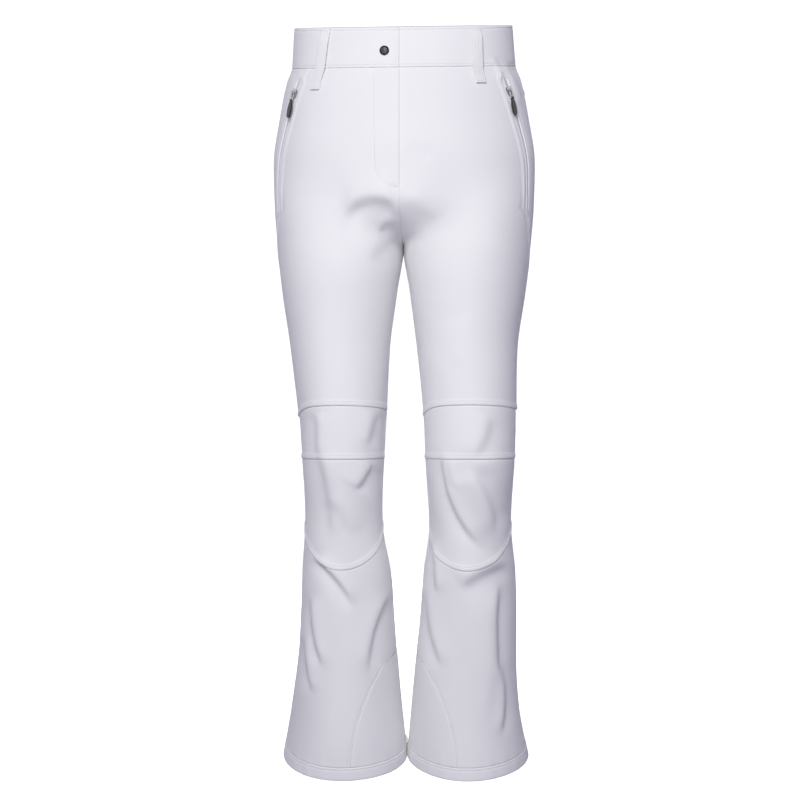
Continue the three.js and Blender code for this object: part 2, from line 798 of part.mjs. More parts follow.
// The fly's slider has no bridge, because its short flat pull lies locked down on the plate.
function sliderFlat() {
  const plateBase = teethHeight + layerGap;
  const plateTop = plateBase + 0.8;
  const whole = block(sliderWidth, sliderLength, 0.1, plateTop);
  const channel = block(teethWidth + 1.6, sliderLength + 2, -1, plateBase);
  const pull = block(4, 14, plateTop - 0.1, plateTop + 0.6).translate(0, -7, 0);
  return geometryFrom(solid(whole).subtract(solid(channel)).add(solid(pull)));
}

function waistTab() {
  const turnHole = turnAcross(snapInset, snapDrop);
  const seat = surface(turnHole, snapDrop);
  const up = surface(turnHole, snapDrop - 5).sub(surface(turnHole, snapDrop + 5));
  const snap = seatOn(seat, outwardAt(turnHole, snapDrop), up);
  snap.updateMatrix();
  const rivetHole = (low, high) => solid(pin(1.3, low, high).applyMatrix4(snap.matrix));

  const tab = panel({
    left: at(0),
    right: flyFold,
    top: at(0),
    bottom: at(bandDrop),
    rows: [0, bandDrop / 2, bandDrop],
    columns: 4,
    inside: -tabCloth,
  });
  const underlap = panel({
    left: (drop) => turnAcross(-underlapPast, drop),
    right: (drop) => turnAcross(underlapReach - 2, drop),
    top: at(1),
    bottom: at(bandDrop),
    rows: [1, bandDrop / 2, bandDrop],
    columns: 4,
    outside: -underlapDepth,
    inside: -underlapDepth - underlapCloth,
  });
  const group = new THREE.Group();
  group.add(named("waistband_tab", geometryFrom(solid(tab).subtract(rivetHole(-9, 5))), white));
  group.add(named("waistband_underlap", geometryFrom(solid(underlap).subtract(rivetHole(-15, -5))), white));

  const capProfile = [
    [0, -tabCloth - 0.2],
    [0.9, -tabCloth - 0.2],
    [0.9, 0.3],
    [snapRadius, 0.3],
    [snapRadius, 0.9],
    [snapRadius - 0.6, 1.3],
    [snapRadius * 0.6, snapDome - 0.3],
    [0, snapDome],
  ];
  const socketTop = -tabCloth - 0.5;
  const socketProfile = [
    [2.5, socketTop - 2.6],
    [5, socketTop - 2.6],
    [5, socketTop],
    [2.5, socketTop],
  ];
  const studLow = -underlapDepth + 0.3;
  const studProfile = [
    [0, studLow],
    [5.2, studLow],
    [5.2, studLow + 0.7],
    [1.7, studLow + 0.7],
    [2, studLow + 2.2],
    [1.4, studLow + 3],
    [0, studLow + 3],
  ];
  const backLow = -underlapDepth - underlapCloth - 1.1;
  const postProfile = [
    [0, backLow],
    [4.8, backLow],
    [4.8, backLow + 0.8],
    [0.9, backLow + 0.8],
    [0.9, studLow - 0.3],
    [0, studLow - 0.3],
  ];
  const turned = (profile, closed = false) => {
    const points = profile.map(([r, h]) => new THREE.Vector2(r, h));
    if (closed) points.push(points[0].clone());
    return new THREE.LatheGeometry(points, 20).rotateX(Math.PI / 2);
  };
  snap.add(named("snap_cap", turned(capProfile), gunmetal));
  snap.add(named("snap_socket", turned(socketProfile, true), gunmetal));
  snap.add(named("snap_stud", turned(studProfile), gunmetal));
  snap.add(named("snap_post", turned(postProfile), gunmetal));
  group.add(snap);
  return group;
}

// ---- The whole garment ----

function halfOf(side, frontTurn) {
  const group = new THREE.Group();
  group.add(...waistPieces(side, frontTurn), ...hipPieces(side, frontTurn));
  group.add(...kneePieces(side), ...shinPieces(side), ...ankleRings(side));
  group.add(beltLoop("belt_loop_front_" + side, frontLoopTurn));
  group.add(beltLoop("belt_loop_back_" + side, backLoopTurn));
  group.add(pocketZip(side));
  return group;
}

const pants = new THREE.Group();
const leftHalf = halfOf("left", at(0));
leftHalf.add(beltLoop("belt_loop_centre_back", 1));
const rightHalf = halfOf("right", flyFold);
rightHalf.add(flyCloth(), flyZip(), waistTab());
rightHalf.scale.x = -1;
pants.add(leftHalf, rightHalf);

export default pants;
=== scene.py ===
"""Ski pants: cloth panels, hardware and studio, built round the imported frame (metres, front facing -Y)."""

import math

import bpy
import numpy as np
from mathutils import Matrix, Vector


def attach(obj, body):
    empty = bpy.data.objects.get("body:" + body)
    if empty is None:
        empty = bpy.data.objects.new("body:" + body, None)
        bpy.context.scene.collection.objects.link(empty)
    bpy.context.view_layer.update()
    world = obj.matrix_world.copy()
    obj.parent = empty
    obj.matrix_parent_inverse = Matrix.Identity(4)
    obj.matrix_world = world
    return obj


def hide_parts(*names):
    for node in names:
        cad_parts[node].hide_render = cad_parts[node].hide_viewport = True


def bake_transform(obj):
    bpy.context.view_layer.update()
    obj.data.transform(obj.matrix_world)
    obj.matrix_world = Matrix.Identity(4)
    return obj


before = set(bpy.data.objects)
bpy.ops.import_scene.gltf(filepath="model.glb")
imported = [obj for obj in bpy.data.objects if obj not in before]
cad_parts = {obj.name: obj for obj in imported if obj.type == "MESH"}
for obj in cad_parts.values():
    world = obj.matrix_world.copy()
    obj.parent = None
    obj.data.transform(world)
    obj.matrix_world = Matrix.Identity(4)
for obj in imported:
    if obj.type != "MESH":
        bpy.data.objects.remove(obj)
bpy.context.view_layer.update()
MM = 0.001

# ---- The body form every panel is cut to ----
# White softshell is cut in flat panels and sewn into two legs that join round the hips. This section
# holds the shape that the panels take when filled: a loop at each height, turned from the centre front
# or inseam (0) past the side seam (0.5) to the centre back or inseam (1). Lengths are millimetres.

BAND, SIDE, HIP, CROTCH, KNEE_BAND, KNEE, CALF = 57, 76, 190, 305, 534, 600, 690
HEM_SEAM, HEM = 1004, 1021
FRONT_SLANT = 14
WAIST_DEPTH = 95
CENTRE_GAP = 0.06
FORK_TOP = 240
FORK_SOFTNESS = 1.7


def mix(a, b, t):
    """The straight blend that is a where t is 0 and b where t is 1."""
    return a + (b - a) * t


def smooth(t):
    """An S-shaped step: 0 below 0, 1 above 1, 3t^2 - 2t^3 between."""
    t = np.clip(t, 0, 1)
    return t * t * (3 - 2 * t)


def bell(t):
    """A bell: 1 at 0, falling off as exp(-t^2)."""
    return np.exp(-np.square(t))


def hip_level(drop, outer, depth, tilt):
    """A level of the hips; its middle keeps the front straight: depth less waist depth less slant."""
    return (drop, outer, CENTRE_GAP, depth, depth - WAIST_DEPTH - drop * FRONT_SLANT / CROTCH, tilt)


def calf_level(t, wider, deeper, back, tilt):
    """A level between calf and hem, each measure a share of the way from the calf's to the hem's."""
    inner = mix(32, 0.8, mix(t, deeper, 0.5) + 0.12 * (1 - t))
    return (mix(CALF, HEM, t), mix(142, 172, wider), inner, mix(62, 92, deeper), mix(-35, 45, back), tilt)


def thigh_level(t, outer, gap, depth, middle, tilt):
    """A level between crotch and knee, its inner gap a share of the knee's."""
    return (mix(CROTCH, KNEE, t), outer, mix(CENTRE_GAP, 28, gap), depth, middle, tilt)


# drop, outer half width, inner half width, half depth, middle front to back, tilt in degrees
LEVELS = np.array(
    [
        (0, 152, CENTRE_GAP, 95, 0, 10.8),
        hip_level(BAND, mix(152, 183, 0.14), mix(95, 118, 0.2), 9),
        hip_level(SIDE, mix(152, 183, 0.37), mix(95, 118, 0.36), 8),
        hip_level(mix(BAND, HIP, 0.5), mix(152, 183, 0.7), mix(95, 118, 0.7), 6),
        hip_level(HIP, 183, 118, 3),
        hip_level(mix(HIP, CROTCH, 0.52), 181, 117, 0),
        (CROTCH, 176, CENTRE_GAP, 107, 4, -1.5),
        thigh_level(0.22, 168, 0.32, mix(107, 66, 0.37), -6, -3),
        thigh_level(0.49, mix(176, 147, 0.69), 0.68, mix(107, 66, 0.7), -18, -4.5),
        (KNEE_BAND, 150, mix(CENTRE_GAP, 28, 0.9), 71, -29, -5.4),
        (KNEE, 147, 28, 66, -35, 0),
        (CALF, 142, 32, 62, mix(-35, 45, 0.18), 3),
        calf_level(0.22, 0.18, 0.22, 0.38, 6),
        calf_level(0.52, 0.34, 0.48, 0.62, 9),
        calf_level(0.79, 0.6, 0.74, 0.83, 11),
        calf_level(1, 1, 1, 1, 12.5),
    ]
)


def level_slopes():
    """The slope of each measure at each level: the harmonic mean of the slopes beside it, or 0 at a turn."""
    rise = np.diff(LEVELS[:, 1:], axis=0) / np.diff(LEVELS[:, :1], axis=0)
    before, after = rise[:-1], rise[1:]
    total = np.where(before * after > 0, before + after, 1)
    inner = np.where(before * after > 0, 2 * before * after / total, 0)
    return np.vstack([rise[:1], inner, rise[-1:]])


SLOPES = level_slopes()


def levels_at(drop):
    """The five measures at each drop: the cubic between two levels that meets their values and slopes."""
    k = np.clip(np.searchsorted(LEVELS[:, 0], drop, side="left") - 1, 0, len(LEVELS) - 2)
    span = LEVELS[k + 1, 0] - LEVELS[k, 0]
    t = ((drop - LEVELS[k, 0]) / span)[..., None]
    span = span[..., None]
    start = LEVELS[k, 1:] * (1 + 2 * t) * (1 - t) ** 2 + SLOPES[k] * span * t * (1 - t) ** 2
    end = LEVELS[k + 1, 1:] * t * t * (3 - 2 * t) + SLOPES[k + 1] * span * t * t * (t - 1)
    return np.moveaxis(start + end, -1, 0)


def hip_share(turn, drop):
    """1 on the loop round the hips, 0 on a leg's own loop: a round arch at the fork, an S step elsewhere."""
    above = (CROTCH - drop) / (CROTCH - FORK_TOP)
    softened = (above + np.hypot(above, FORK_SOFTNESS * np.minimum(turn % 1, -turn % 1))) / 2
    arch = np.sqrt(1 - (1 - np.clip(softened, 0, 1)) ** 2) * (1 - smooth((drop - CROTCH) / 60))
    gentle = smooth((CROTCH + 70 - drop) / 190)
    return mix(gentle, arch, np.cos(np.pi * turn) ** 8)


def loop_point(turn, drop, measures):
    """A point of the loop seen from above: half an ellipse at the hips, a whole one round the leg."""
    outer, inner, depth = measures[:3]
    share = hip_share(turn, drop)
    half = np.pi * turn
    reach = outer - inner
    x = inner + share * reach * np.sin(half) + (1 - share) * reach * 0.5 * (1 - np.cos(2 * half))
    y = -depth * (share * np.cos(half) + (1 - share) * np.sin(2 * half))
    return x, y


def surface(turn, drop, lift=0.0):
    """Points of the left half in millimetres: the loop point moved out by lift, tilted front to back."""
    turn, drop, lift = np.broadcast_arrays(*(np.asarray(v, float) for v in (turn, drop, lift)))
    measures = levels_at(drop)
    x, y = loop_point(turn, drop, measures)
    ahead = loop_point(turn + 0.001, drop, measures)
    behind = loop_point(turn - 0.001, drop, measures)
    dx, dy = ahead[0] - behind[0], ahead[1] - behind[1]
    length = np.hypot(dx, dy)
    lifted = y - dx / length * lift
    tilted = -drop + np.tan(np.radians(measures[4])) * lifted
    return np.stack([x + dy / length * lift, measures[3] + lifted, tilted], axis=-1)


def turn_across(x, drop):
    """The turn at which the front of the hips lies this far from the centre line."""
    outer, inner = levels_at(np.asarray(drop, float))[:2]
    return np.arcsin((x - inner) / (outer - inner)) / np.pi


def turn_length(turn, drop):
    """How many millimetres a whole turn would measure where it passes this point."""
    return np.linalg.norm(surface(turn + 0.002, drop) - surface(turn - 0.002, drop), axis=-1) / 0.004


# How worn cloth lies: each fold is a step that drops away on its far side and fades out round it.
# start (across, drop), end (across, drop), bow, height, how steep, how far it spreads
FOLDS = {
    "left": [
        ((52, 600), (99, 716), -10, -4, 3.5, 14),
        ((93, 618), (122, 694), 5, 4, 6.1, 26),
        ((62, 602), (70, 640), -2, -1.8, 3.5, 10),
        ((37, 716), (42, 780), 0, -3.1, 3.5, 11),
        ((29, 790), (49, 880), -4, -3.6, 4.6, 15),
        ((78, 772), (136, 745), 3, -4.7, 8.1, 26),
        ((128, 780), (131, 900), -2, 4.7, 4.1, 15),
        ((135, 885), (134, 975), 4, 4, 4.1, 14),
        ((118, 800), (120, 960), 3, 2, 8.1, 24),
        ((64, 470), (84, 400), 4, 1.6, 12.2, 29),
        ((96, 596), (116, 545), -4, -2.7, 6.8, 22),
        ((142, 60), (166, 112), 4, 2.9, 4.1, 12),
        ((128, 56), (141, 84), 2, 2, 3.5, 9),
        ((10, 250), (50, 278), -3, -1.6, 8.1, 22),
        ((10, 176), (44, 186), 0, -1.1, 9.5, 20),
    ],
    "right": [
        ((63, 640), (42, 608), 2, -3.6, 4.1, 18),
        ((124, 738), (72, 797), -5, -4, 4.1, 14),
        ((129, 796), (113, 880), 4, -4, 4.1, 13),
        ((139, 850), (127, 918), 2, -3.4, 4.1, 13),
        ((26, 792), (48, 888), 5, 4, 4.3, 16),
        ((119, 590), (101, 706), -4, -3.6, 8.1, 26),
        ((74, 700), (104, 655), 5, 1.6, 6.8, 22),
        ((120, 540), (121, 592), 0, -2.5, 5.4, 18),
        ((36, 538), (47, 580), 0, 2.7, 5.4, 15),
        ((2, 262), (74, 268), 13, 5.6, 7.4, 29),
        ((2, 285), (28, 290), 5, 3.6, 4.3, 11),
        ((6, 300), (40, 330), 5, 2.2, 8.1, 20),
    ],
}


def wave(turns, phase=0.0):
    """A sine wave that has made this many whole turns past its phase."""
    return np.sin(2 * np.pi * turns + phase)


def stance(side, drop):
    """How each leg fills out differently: the right leg slimmer at the knee and fuller at the hem."""
    if side == "right":
        return -3.8 * bell((drop - 625) / 100) + 3.0 * smooth((drop - 860) / 130)
    return 2.6 * bell((drop - 640) / 120)


def sway(drop):
    """How far the legs hang to the wearer's left of plumb: nothing at the hips and hems, most at the knee."""
    return 4.5 * smooth((drop - 420) / 150) * (1 - smooth((drop - 740) / 210))


def fold_steps(side, x, drop):
    """The sum of the folds: height x tanh(distance / steep) x bell(distance / spread), faded at both ends."""
    total = np.zeros_like(x)
    for (x0, d0), (x1, d1), bow, height, steep, spread in FOLDS[side]:
        length = math.hypot(x1 - x0, d1 - d0)
        ux, ud = (x1 - x0) / length, (d1 - d0) / length
        t = ((x - x0) * ux + (drop - d0) * ud) / length
        off = (x - x0) * ud - (drop - d0) * ux - bow * 4 * t * (1 - t)
        fade = smooth((t + 0.12) / 0.3) * smooth((1.12 - t) / 0.34)
        total += height * np.tanh(off / steep) * bell(off / spread) * fade
    return -total if side == "left" else total


def ease(side, turn, drop):
    """How far the cloth stands off the form: folds in front, ripples behind the knee, and slow swells."""
    base = surface(turn, drop)
    front = smooth((0.5 - turn) / 0.06)
    lift = fold_steps(side, base[..., 0], -base[..., 2]) * front
    phase = 0.0 if side == "left" else 1.9
    low = smooth((drop - 560) / 160)
    swell = wave(2.6 * turn + drop / 410, phase) + 0.6 * wave(4.3 * turn - drop / 260, 2.1 * phase + 1)
    lift += swell * mix(0.35, 1.1, low) + stance(side, drop)
    behind = bell((turn - 0.75) / 0.15)
    crumple = wave(drop / 26, 2.2 * np.sin(9 * turn + phase) + phase)
    lift += 2.0 * crumple * behind * bell((drop - 600) / 62)
    seat = wave(drop / 44 - 2.2 * turn, phase)
    lift += 1.5 * seat * bell((turn - 0.84) / 0.1) * bell((drop - 330) / 42)
    shin = wave(5.2 * turn + drop / 300, 1.3 * phase)
    lift += 1.5 * shin * behind * smooth((drop - 700) / 120)
    gather = wave(turn_length(0.25, 620) * turn / 8.5, phase)
    ends = bell((turn - 0.44) / 0.05) + 0.6 * bell((turn - 0.07) / 0.03)
    lift += 0.5 * gather * ends * smooth((drop - KNEE) / 4) * bell((drop - KNEE) / 26)
    at_hem = 0.35 * wave(23 * turn, phase) * bell((drop - HEM_SEAM) / 14)
    centre = smooth(np.minimum(turn, 1 - turn) / 0.03)
    upper = smooth((drop - 300) / 40)
    return (lift + at_hem) * mix(centre, 1, upper * 0.6) * smooth((drop - 1) / 60)


# ---- Making a panel of cloth ----
# Softshell is 1.4 mm thick. Each panel is a closed sheet: a face, a lining side and the cut edge. Its
# edges roll in at the seams, and lie thicker where the seam allowance is stitched flat behind.

CLOTH = 1.4
EDGE_STEPS = np.array([0, 0.3, 0.7, 1.2, 1.9, 2.8, 3.7, 4.4, 4.9, 5.4, 5.9, 6.6, 7.6, 9])
DOWN_STEP, ACROSS_STEP = 3.2, 2.8
ROLL_DEPTH, ROLL_WIDTH = 1.5, 2.0
WELT_HEIGHT = 1.1
STITCH_INSET = 5.4
GROOVE_DEPTH, GROOVE_WIDTH = 0.55, 0.8


def shares(length, step):
    """Shares from 0 to 1 along a length, close together at both seams and even between."""
    edge = EDGE_STEPS * min(1, length / (2.6 * EDGE_STEPS[-1]))
    count = max(2, int((length - 2 * edge[-1]) / step) + 1)
    middle = np.linspace(edge[-1], length - edge[-1], count + 1)[1:-1]
    return np.concatenate([edge, middle, (length - edge)[::-1]]) / length


def rolled(distance, width):
    """A quarter round: 1 at an edge, curving to 0 at its width and beyond."""
    return 1 - np.sqrt(1 - (1 - np.clip(distance / width, 0, 1)) ** 2)


def unit(directions):
    """Directions scaled to a length of 1."""
    return directions / (np.linalg.norm(directions, axis=-1, keepdims=True) + 1e-12)


def along_path(at, run, values):
    """The values of a path at some distances along it, between those at its own points."""
    return np.stack([np.interp(at, run, column) for column in values.T], axis=1)


def side_seam_points(seam, start, end, t, evenly):
    """Turn and drop down a side seam, spaced by drop or, for a strongly curved seam, by its own length."""
    if not evenly:
        drop = mix(start, end, t)
        return np.stack([seam(drop), drop])
    drop = mix(start, end, np.linspace(0, 1, 6001))
    turn = seam(drop)
    run = run_lengths(surface(turn, drop)[None], 1)[0]
    return along_path(t * run[-1], run, np.stack([turn, drop], axis=1)).T


def at(value):
    """A seam line that stays at one turn or one drop."""
    return lambda along: np.full_like(np.asarray(along, float), value)


def panel_place(left, right, top, bottom, s, t, curved=()):
    """Turn and drop of a grid between four seams: the blend across of both sides plus the blend down of
    top and bottom, less the blend of the four corners."""
    left, right, top, bottom = (seam if callable(seam) else at(seam) for seam in (left, right, top, bottom))
    ends = []
    for seam in (left, right):
        start = end = 0.0
        for _ in range(3):
            start, end = float(top(seam(np.array(start)))), float(bottom(seam(np.array(end))))
        ends.append((start, end))
    sides = [
        side_seam_points(seam, *ends[k], t, edge in curved)
        for k, (seam, edge) in enumerate(((left, "left"), (right, "right")))
    ]
    top_turn = mix(sides[0][0, 0], sides[1][0, 0], s)
    low_turn = mix(sides[0][0, -1], sides[1][0, -1], s)
    high = np.stack([top_turn, top(top_turn)])
    low = np.stack([low_turn, bottom(low_turn)])
    s, t = s[None, None, :], t[None, :, None]
    across = mix(sides[0][:, :, None], sides[1][:, :, None], s)
    down = mix(high[:, None, :], low[:, None, :], t)
    high_corners = mix(high[:, None, :1], high[:, None, -1:], s)
    low_corners = mix(low[:, None, :1], low[:, None, -1:], s)
    return across + down - mix(high_corners, low_corners, t)


def run_lengths(points, axis):
    """Distance run so far along each row or column of a grid of points."""
    step = np.linalg.norm(np.diff(points, axis=axis), axis=-1)
    pad = [(1, 0), (0, 0)] if axis == 0 else [(0, 0), (1, 0)]
    return np.pad(np.cumsum(step, axis=axis), pad)


def nearest_distance(points, line):
    """Distance of each grid point from a line, by the nearest of its closely set points."""
    run = run_lengths(line[None], 1)[0]
    at = np.linspace(0, run[-1], int(run[-1] / 0.8) + 2)
    dense = along_path(at, run, line)
    parts = np.array_split(points.reshape(-1, 3), math.ceil(points.size / 6000))
    best = [np.linalg.norm(part[:, None] - dense[None], axis=2).min(1) for part in parts]
    return np.concatenate(best).reshape(points.shape[:-1])


def edge_distances(points, curved=()):
    """Distance of each grid point from the four edges, measured along the grid and squared up to the edge,
    or from the nearest point of the edge where it is curved."""
    down, across = run_lengths(points, 0), run_lengths(points, 1)
    edges = {
        "top": (down, points[0], points[1]),
        "bottom": (down[-1:] - down, points[-1], points[-2]),
        "left": (across, points[:, 0], points[:, 1]),
        "right": (across[:, -1:] - across, points[:, -1], points[:, -2]),
    }
    for edge, (run, line, next_line) in edges.items():
        square = np.cross(unit(np.gradient(line, axis=0)), unit(next_line - line))
        square = np.linalg.norm(square, axis=-1)
        squared_up = run * (square[None, :] if edge in ("top", "bottom") else square[:, None])
        edges[edge] = nearest_distance(points, line) if edge in curved else squared_up
    return edges


def mesh_object(name, points, faces, uv=None):
    """A mesh from points in metres and a list of arrays of triangles or quads, shaded smooth."""
    mesh = bpy.data.meshes.new(name)
    corners = np.concatenate([f.ravel() for f in faces])
    sizes = np.concatenate([np.full(len(f), f.shape[1]) for f in faces])
    mesh.vertices.add(len(points))
    mesh.vertices.foreach_set("co", points.astype(np.float32).ravel())
    mesh.loops.add(len(corners))
    mesh.loops.foreach_set("vertex_index", corners.astype(np.int32))
    mesh.polygons.add(len(sizes))
    starts = np.concatenate([[0], np.cumsum(sizes)[:-1]])
    mesh.polygons.foreach_set("loop_start", starts.astype(np.int32))
    mesh.polygons.foreach_set("use_smooth", np.ones(len(sizes), bool))
    mesh.update(calc_edges=True)
    if uv is not None:
        layer = mesh.uv_layers.new(name="cloth")
        layer.data.foreach_set("uv", uv[corners].astype(np.float32).ravel())
    mesh.validate()
    obj = bpy.data.objects.new(name, mesh)
    bpy.context.scene.collection.objects.link(obj)
    return obj


def grid_faces(tall, wide, ring, start=0, flip=False):
    """Quads of a grid whose points run row by row; a ring joins its last column to its first."""
    i, j = np.meshgrid(np.arange(tall - 1), np.arange(wide if ring else wide - 1), indexing="ij")
    i, j = i.ravel(), j.ravel()
    k = (j + 1) % wide
    quads = start + np.stack([i * wide + j, (i + 1) * wide + j, (i + 1) * wide + k, i * wide + k], axis=1)
    return quads[:, ::-1] if flip else quads


def shell_faces(tall, wide, ring):
    """Outside, inside and cut edge of a closed sheet whose second grid of points follows the first."""
    size = tall * wide
    quads = [grid_faces(tall, wide, ring), grid_faces(tall, wide, ring, size, True)]
    j = np.arange(wide if ring else wide - 1)
    k = (j + 1) % wide
    quads.append(np.stack([j, k, size + k, size + j], axis=1))
    low = (tall - 1) * wide
    quads.append(np.stack([low + j, low + size + j, low + size + k, low + k], axis=1))
    if not ring:
        i = np.arange(tall - 1) * wide
        quads.append(np.stack([i, size + i, size + i + wide, i + wide], axis=1))
        end = i + wide - 1
        quads.append(np.stack([end, end + wide, size + end + wide, size + end], axis=1))
    return quads


def mirrored(points, side):
    """Points in metres, crossed over to -X for the right half, with the sway of the legs."""
    placed = points * (np.array([-1, 1, 1]) if side == "right" else 1)
    placed[:, 0] += sway(-placed[:, 2])
    return placed * MM


def closed_sheet(name, side, outside, inside, ring=False):
    """A closed sheet of cloth between two grids of points, with its run across and down as its UV map."""
    tall, wide = outside.shape[:2]
    faces = shell_faces(tall, wide, ring)
    if side == "right":
        faces = [f[:, ::-1] for f in faces]
    points = np.concatenate([outside.reshape(-1, 3), inside.reshape(-1, 3)])
    across = run_lengths(outside, 1)
    across = across - across[:, wide // 2 : wide // 2 + 1]
    flat = np.stack([across, -run_lengths(outside, 0)], axis=-1).reshape(-1, 2) * MM
    obj = mesh_object(name, mirrored(points, side), faces, np.concatenate([flat, flat]))
    rim = sum(len(f) for f in faces[:2])
    rounded = np.ones(len(obj.data.polygons), bool)
    rounded[rim:] = False
    obj.data.polygons.foreach_set("use_smooth", rounded)
    return obj


def flat_cut(points):
    """The flat size and area of the cut: its widest row, its longest column and the sum of its quads."""
    width = run_lengths(points, 1)[:, -1].max() * MM
    length = run_lengths(points, 0)[-1].max() * MM
    a, b = points[1:, 1:] - points[:-1, :-1], points[1:, :-1] - points[:-1, 1:]
    area = np.linalg.norm(np.cross(a, b), axis=-1).sum() / 2 * MM * MM
    return (float(width), float(length)), float(min(area, width * length))


# ---- Stitching ----
# Polyester thread in lockstitch: 2.6 mm stitches, 3.3 mm apart, sunk a little at both ends where the
# thread goes through. All the rows on one panel are one piece that moves as the panel does.

STITCH_PITCH, STITCH_HALF, THREAD = 3.3, 1.35, 0.3


def stitch_mesh(name, side, rows, pitch=STITCH_PITCH, half=STITCH_HALF, radius=THREAD):
    """One small six-sided grain of thread for each stitch, set along rows of (points, outward) paths."""
    around = np.arange(6) * np.pi / 3
    ring = np.stack([np.zeros(6), np.cos(around), np.sin(around)], axis=1) * radius
    shoulder = np.array([0.55 * half, 0, 0])
    tip = np.array([[half, 0, -0.9 * radius]])
    grain = np.concatenate([tip * [-1, 1, 1], ring - shoulder, ring + shoulder, tip]) + [0, 0, 0.4 * radius]
    k, n = np.arange(6), (np.arange(6) + 1) % 6
    tips = np.concatenate(
        [np.stack([0 * k, 1 + n, 1 + k], axis=1), np.stack([0 * k + 13, 7 + k, 7 + n], axis=1)]
    )
    sides = np.stack([1 + k, 1 + n, 7 + n, 7 + k], axis=1)
    places, alongs, outs = [], [], []
    for path, outward in rows:
        run = run_lengths(path[None], 1)[0]
        count = int(run[-1] / pitch)
        if count < 1:
            continue
        at = (np.arange(count) + 0.5) * run[-1] / count
        step = unit(along_path(at + 0.5, run, path) - along_path(at - 0.5, run, path))
        out = along_path(at, run, outward)
        places.append(along_path(at, run, path))
        alongs.append(step)
        outs.append(unit(out - step * (step * out).sum(1, keepdims=True)))
    place, along, out = (np.concatenate(v)[:, None] for v in (places, alongs, outs))
    beside = np.cross(out, along)
    points = place + along * grain[:, :1] + beside * grain[:, 1:2] + out * grain[:, 2:]
    first = (np.arange(len(place)) * len(grain))[:, None, None]
    faces = [(first + sides).reshape(-1, 4), (first + tips).reshape(-1, 3)]
    if side == "right":
        faces = [f[:, ::-1] for f in faces]
    return mesh_object(name, mirrored(points.reshape(-1, 3), side), faces)


def outward_of(grid):
    """The direction straight out of a grid of points whose columns run round and rows run down."""
    return unit(np.cross(np.gradient(grid, axis=0), np.gradient(grid, axis=1)))


def inset_row(grid, distance, edge, inset):
    """The path on a panel that keeps a distance from one edge, with the direction out of the cloth."""
    out = outward_of(grid)
    if edge in ("left", "right"):
        grid, out, distance = (np.swapaxes(v, 0, 1) for v in (grid, out, distance))
    if edge in ("bottom", "right"):
        grid, out, distance = grid[::-1], out[::-1], distance[::-1]
    k = np.clip((distance < inset).sum(0), 1, len(distance) - 1)
    j = np.arange(grid.shape[1])
    reached = distance[k, j] - distance[k - 1, j]
    t = np.clip((inset - distance[k - 1, j]) / np.where(reached > 0, reached, 1), 0, 1)[:, None]
    keep = distance.max(0) > 1.6 * inset
    return mix(grid[k - 1, j], grid[k, j], t)[keep], mix(out[k - 1, j], out[k, j], t)[keep]


# ---- Colours and weave ----
# The shell is a white plain-weave softshell with a dry, matte face; the linings are pale grey taffeta;
# the zip tapes are white herringbone; metal is brushed nickel or gunmetal; the pulls are glossy black.


class Wire:
    """A shader socket that adds Math nodes when it is used in an expression."""

    def __init__(self, tree, socket):
        self.tree, self.socket = tree, socket

    def math(self, operation, *values):
        return Node(self.tree, "ShaderNodeMath", {"operation": operation}, dict(enumerate(values))).out()

    def __add__(self, other):
        return self.math("ADD", self, other)

    def __mul__(self, other):
        return self.math("MULTIPLY", self, other)

    def __sub__(self, other):
        return self.math("SUBTRACT", self, other)

    def __radd__(self, other):
        return self.math("ADD", other, self)

    def __rmul__(self, other):
        return self.math("MULTIPLY", other, self)

    def __rsub__(self, other):
        return self.math("SUBTRACT", other, self)

    def sine(self):
        return self.math("SINE", self)

    def absolute(self):
        return self.math("ABSOLUTE", self)


class Node:
    """One shader node: its type, its settings, then the values or links of its sockets."""

    def __init__(self, tree, kind, settings=None, inputs=None):
        self.tree = tree
        self.node = tree.nodes.new(kind)
        for key, value in (settings or {}).items():
            setattr(self.node, key, value)
        for key, value in (inputs or {}).items():
            socket = self.node.inputs[key]
            if isinstance(value, Wire):
                tree.links.new(value.socket, socket)
            else:
                socket.default_value = value

    def out(self, key=0):
        return Wire(self.tree, self.node.outputs[key])


def new_material(name):
    """An empty material with nodes, and its node tree."""
    material = bpy.data.materials.new(name)
    material.use_nodes = True
    material.node_tree.nodes.clear()
    return material, material.node_tree


def finish_material(tree, inputs):
    """The Principled shader with these inputs, joined to the material's output."""
    shader = Node(tree, "ShaderNodeBsdfPrincipled", {}, inputs)
    Node(tree, "ShaderNodeOutputMaterial", {}, {"Surface": shader.out()})


def noise(tree, vector, scale, detail):
    """Cloudy grain between 0 and 1."""
    return Node(tree, "ShaderNodeTexNoise", {}, {"Vector": vector, "Scale": scale, "Detail": detail}).out(0)


def colour_mix(tree, factor, a, b):
    """The colour a where the factor is 0 and b where it is 1."""
    inputs = {0: factor, 6: (*a, 1), 7: (*b, 1)}
    return Node(tree, "ShaderNodeMix", {"data_type": "RGBA"}, inputs).out(2)


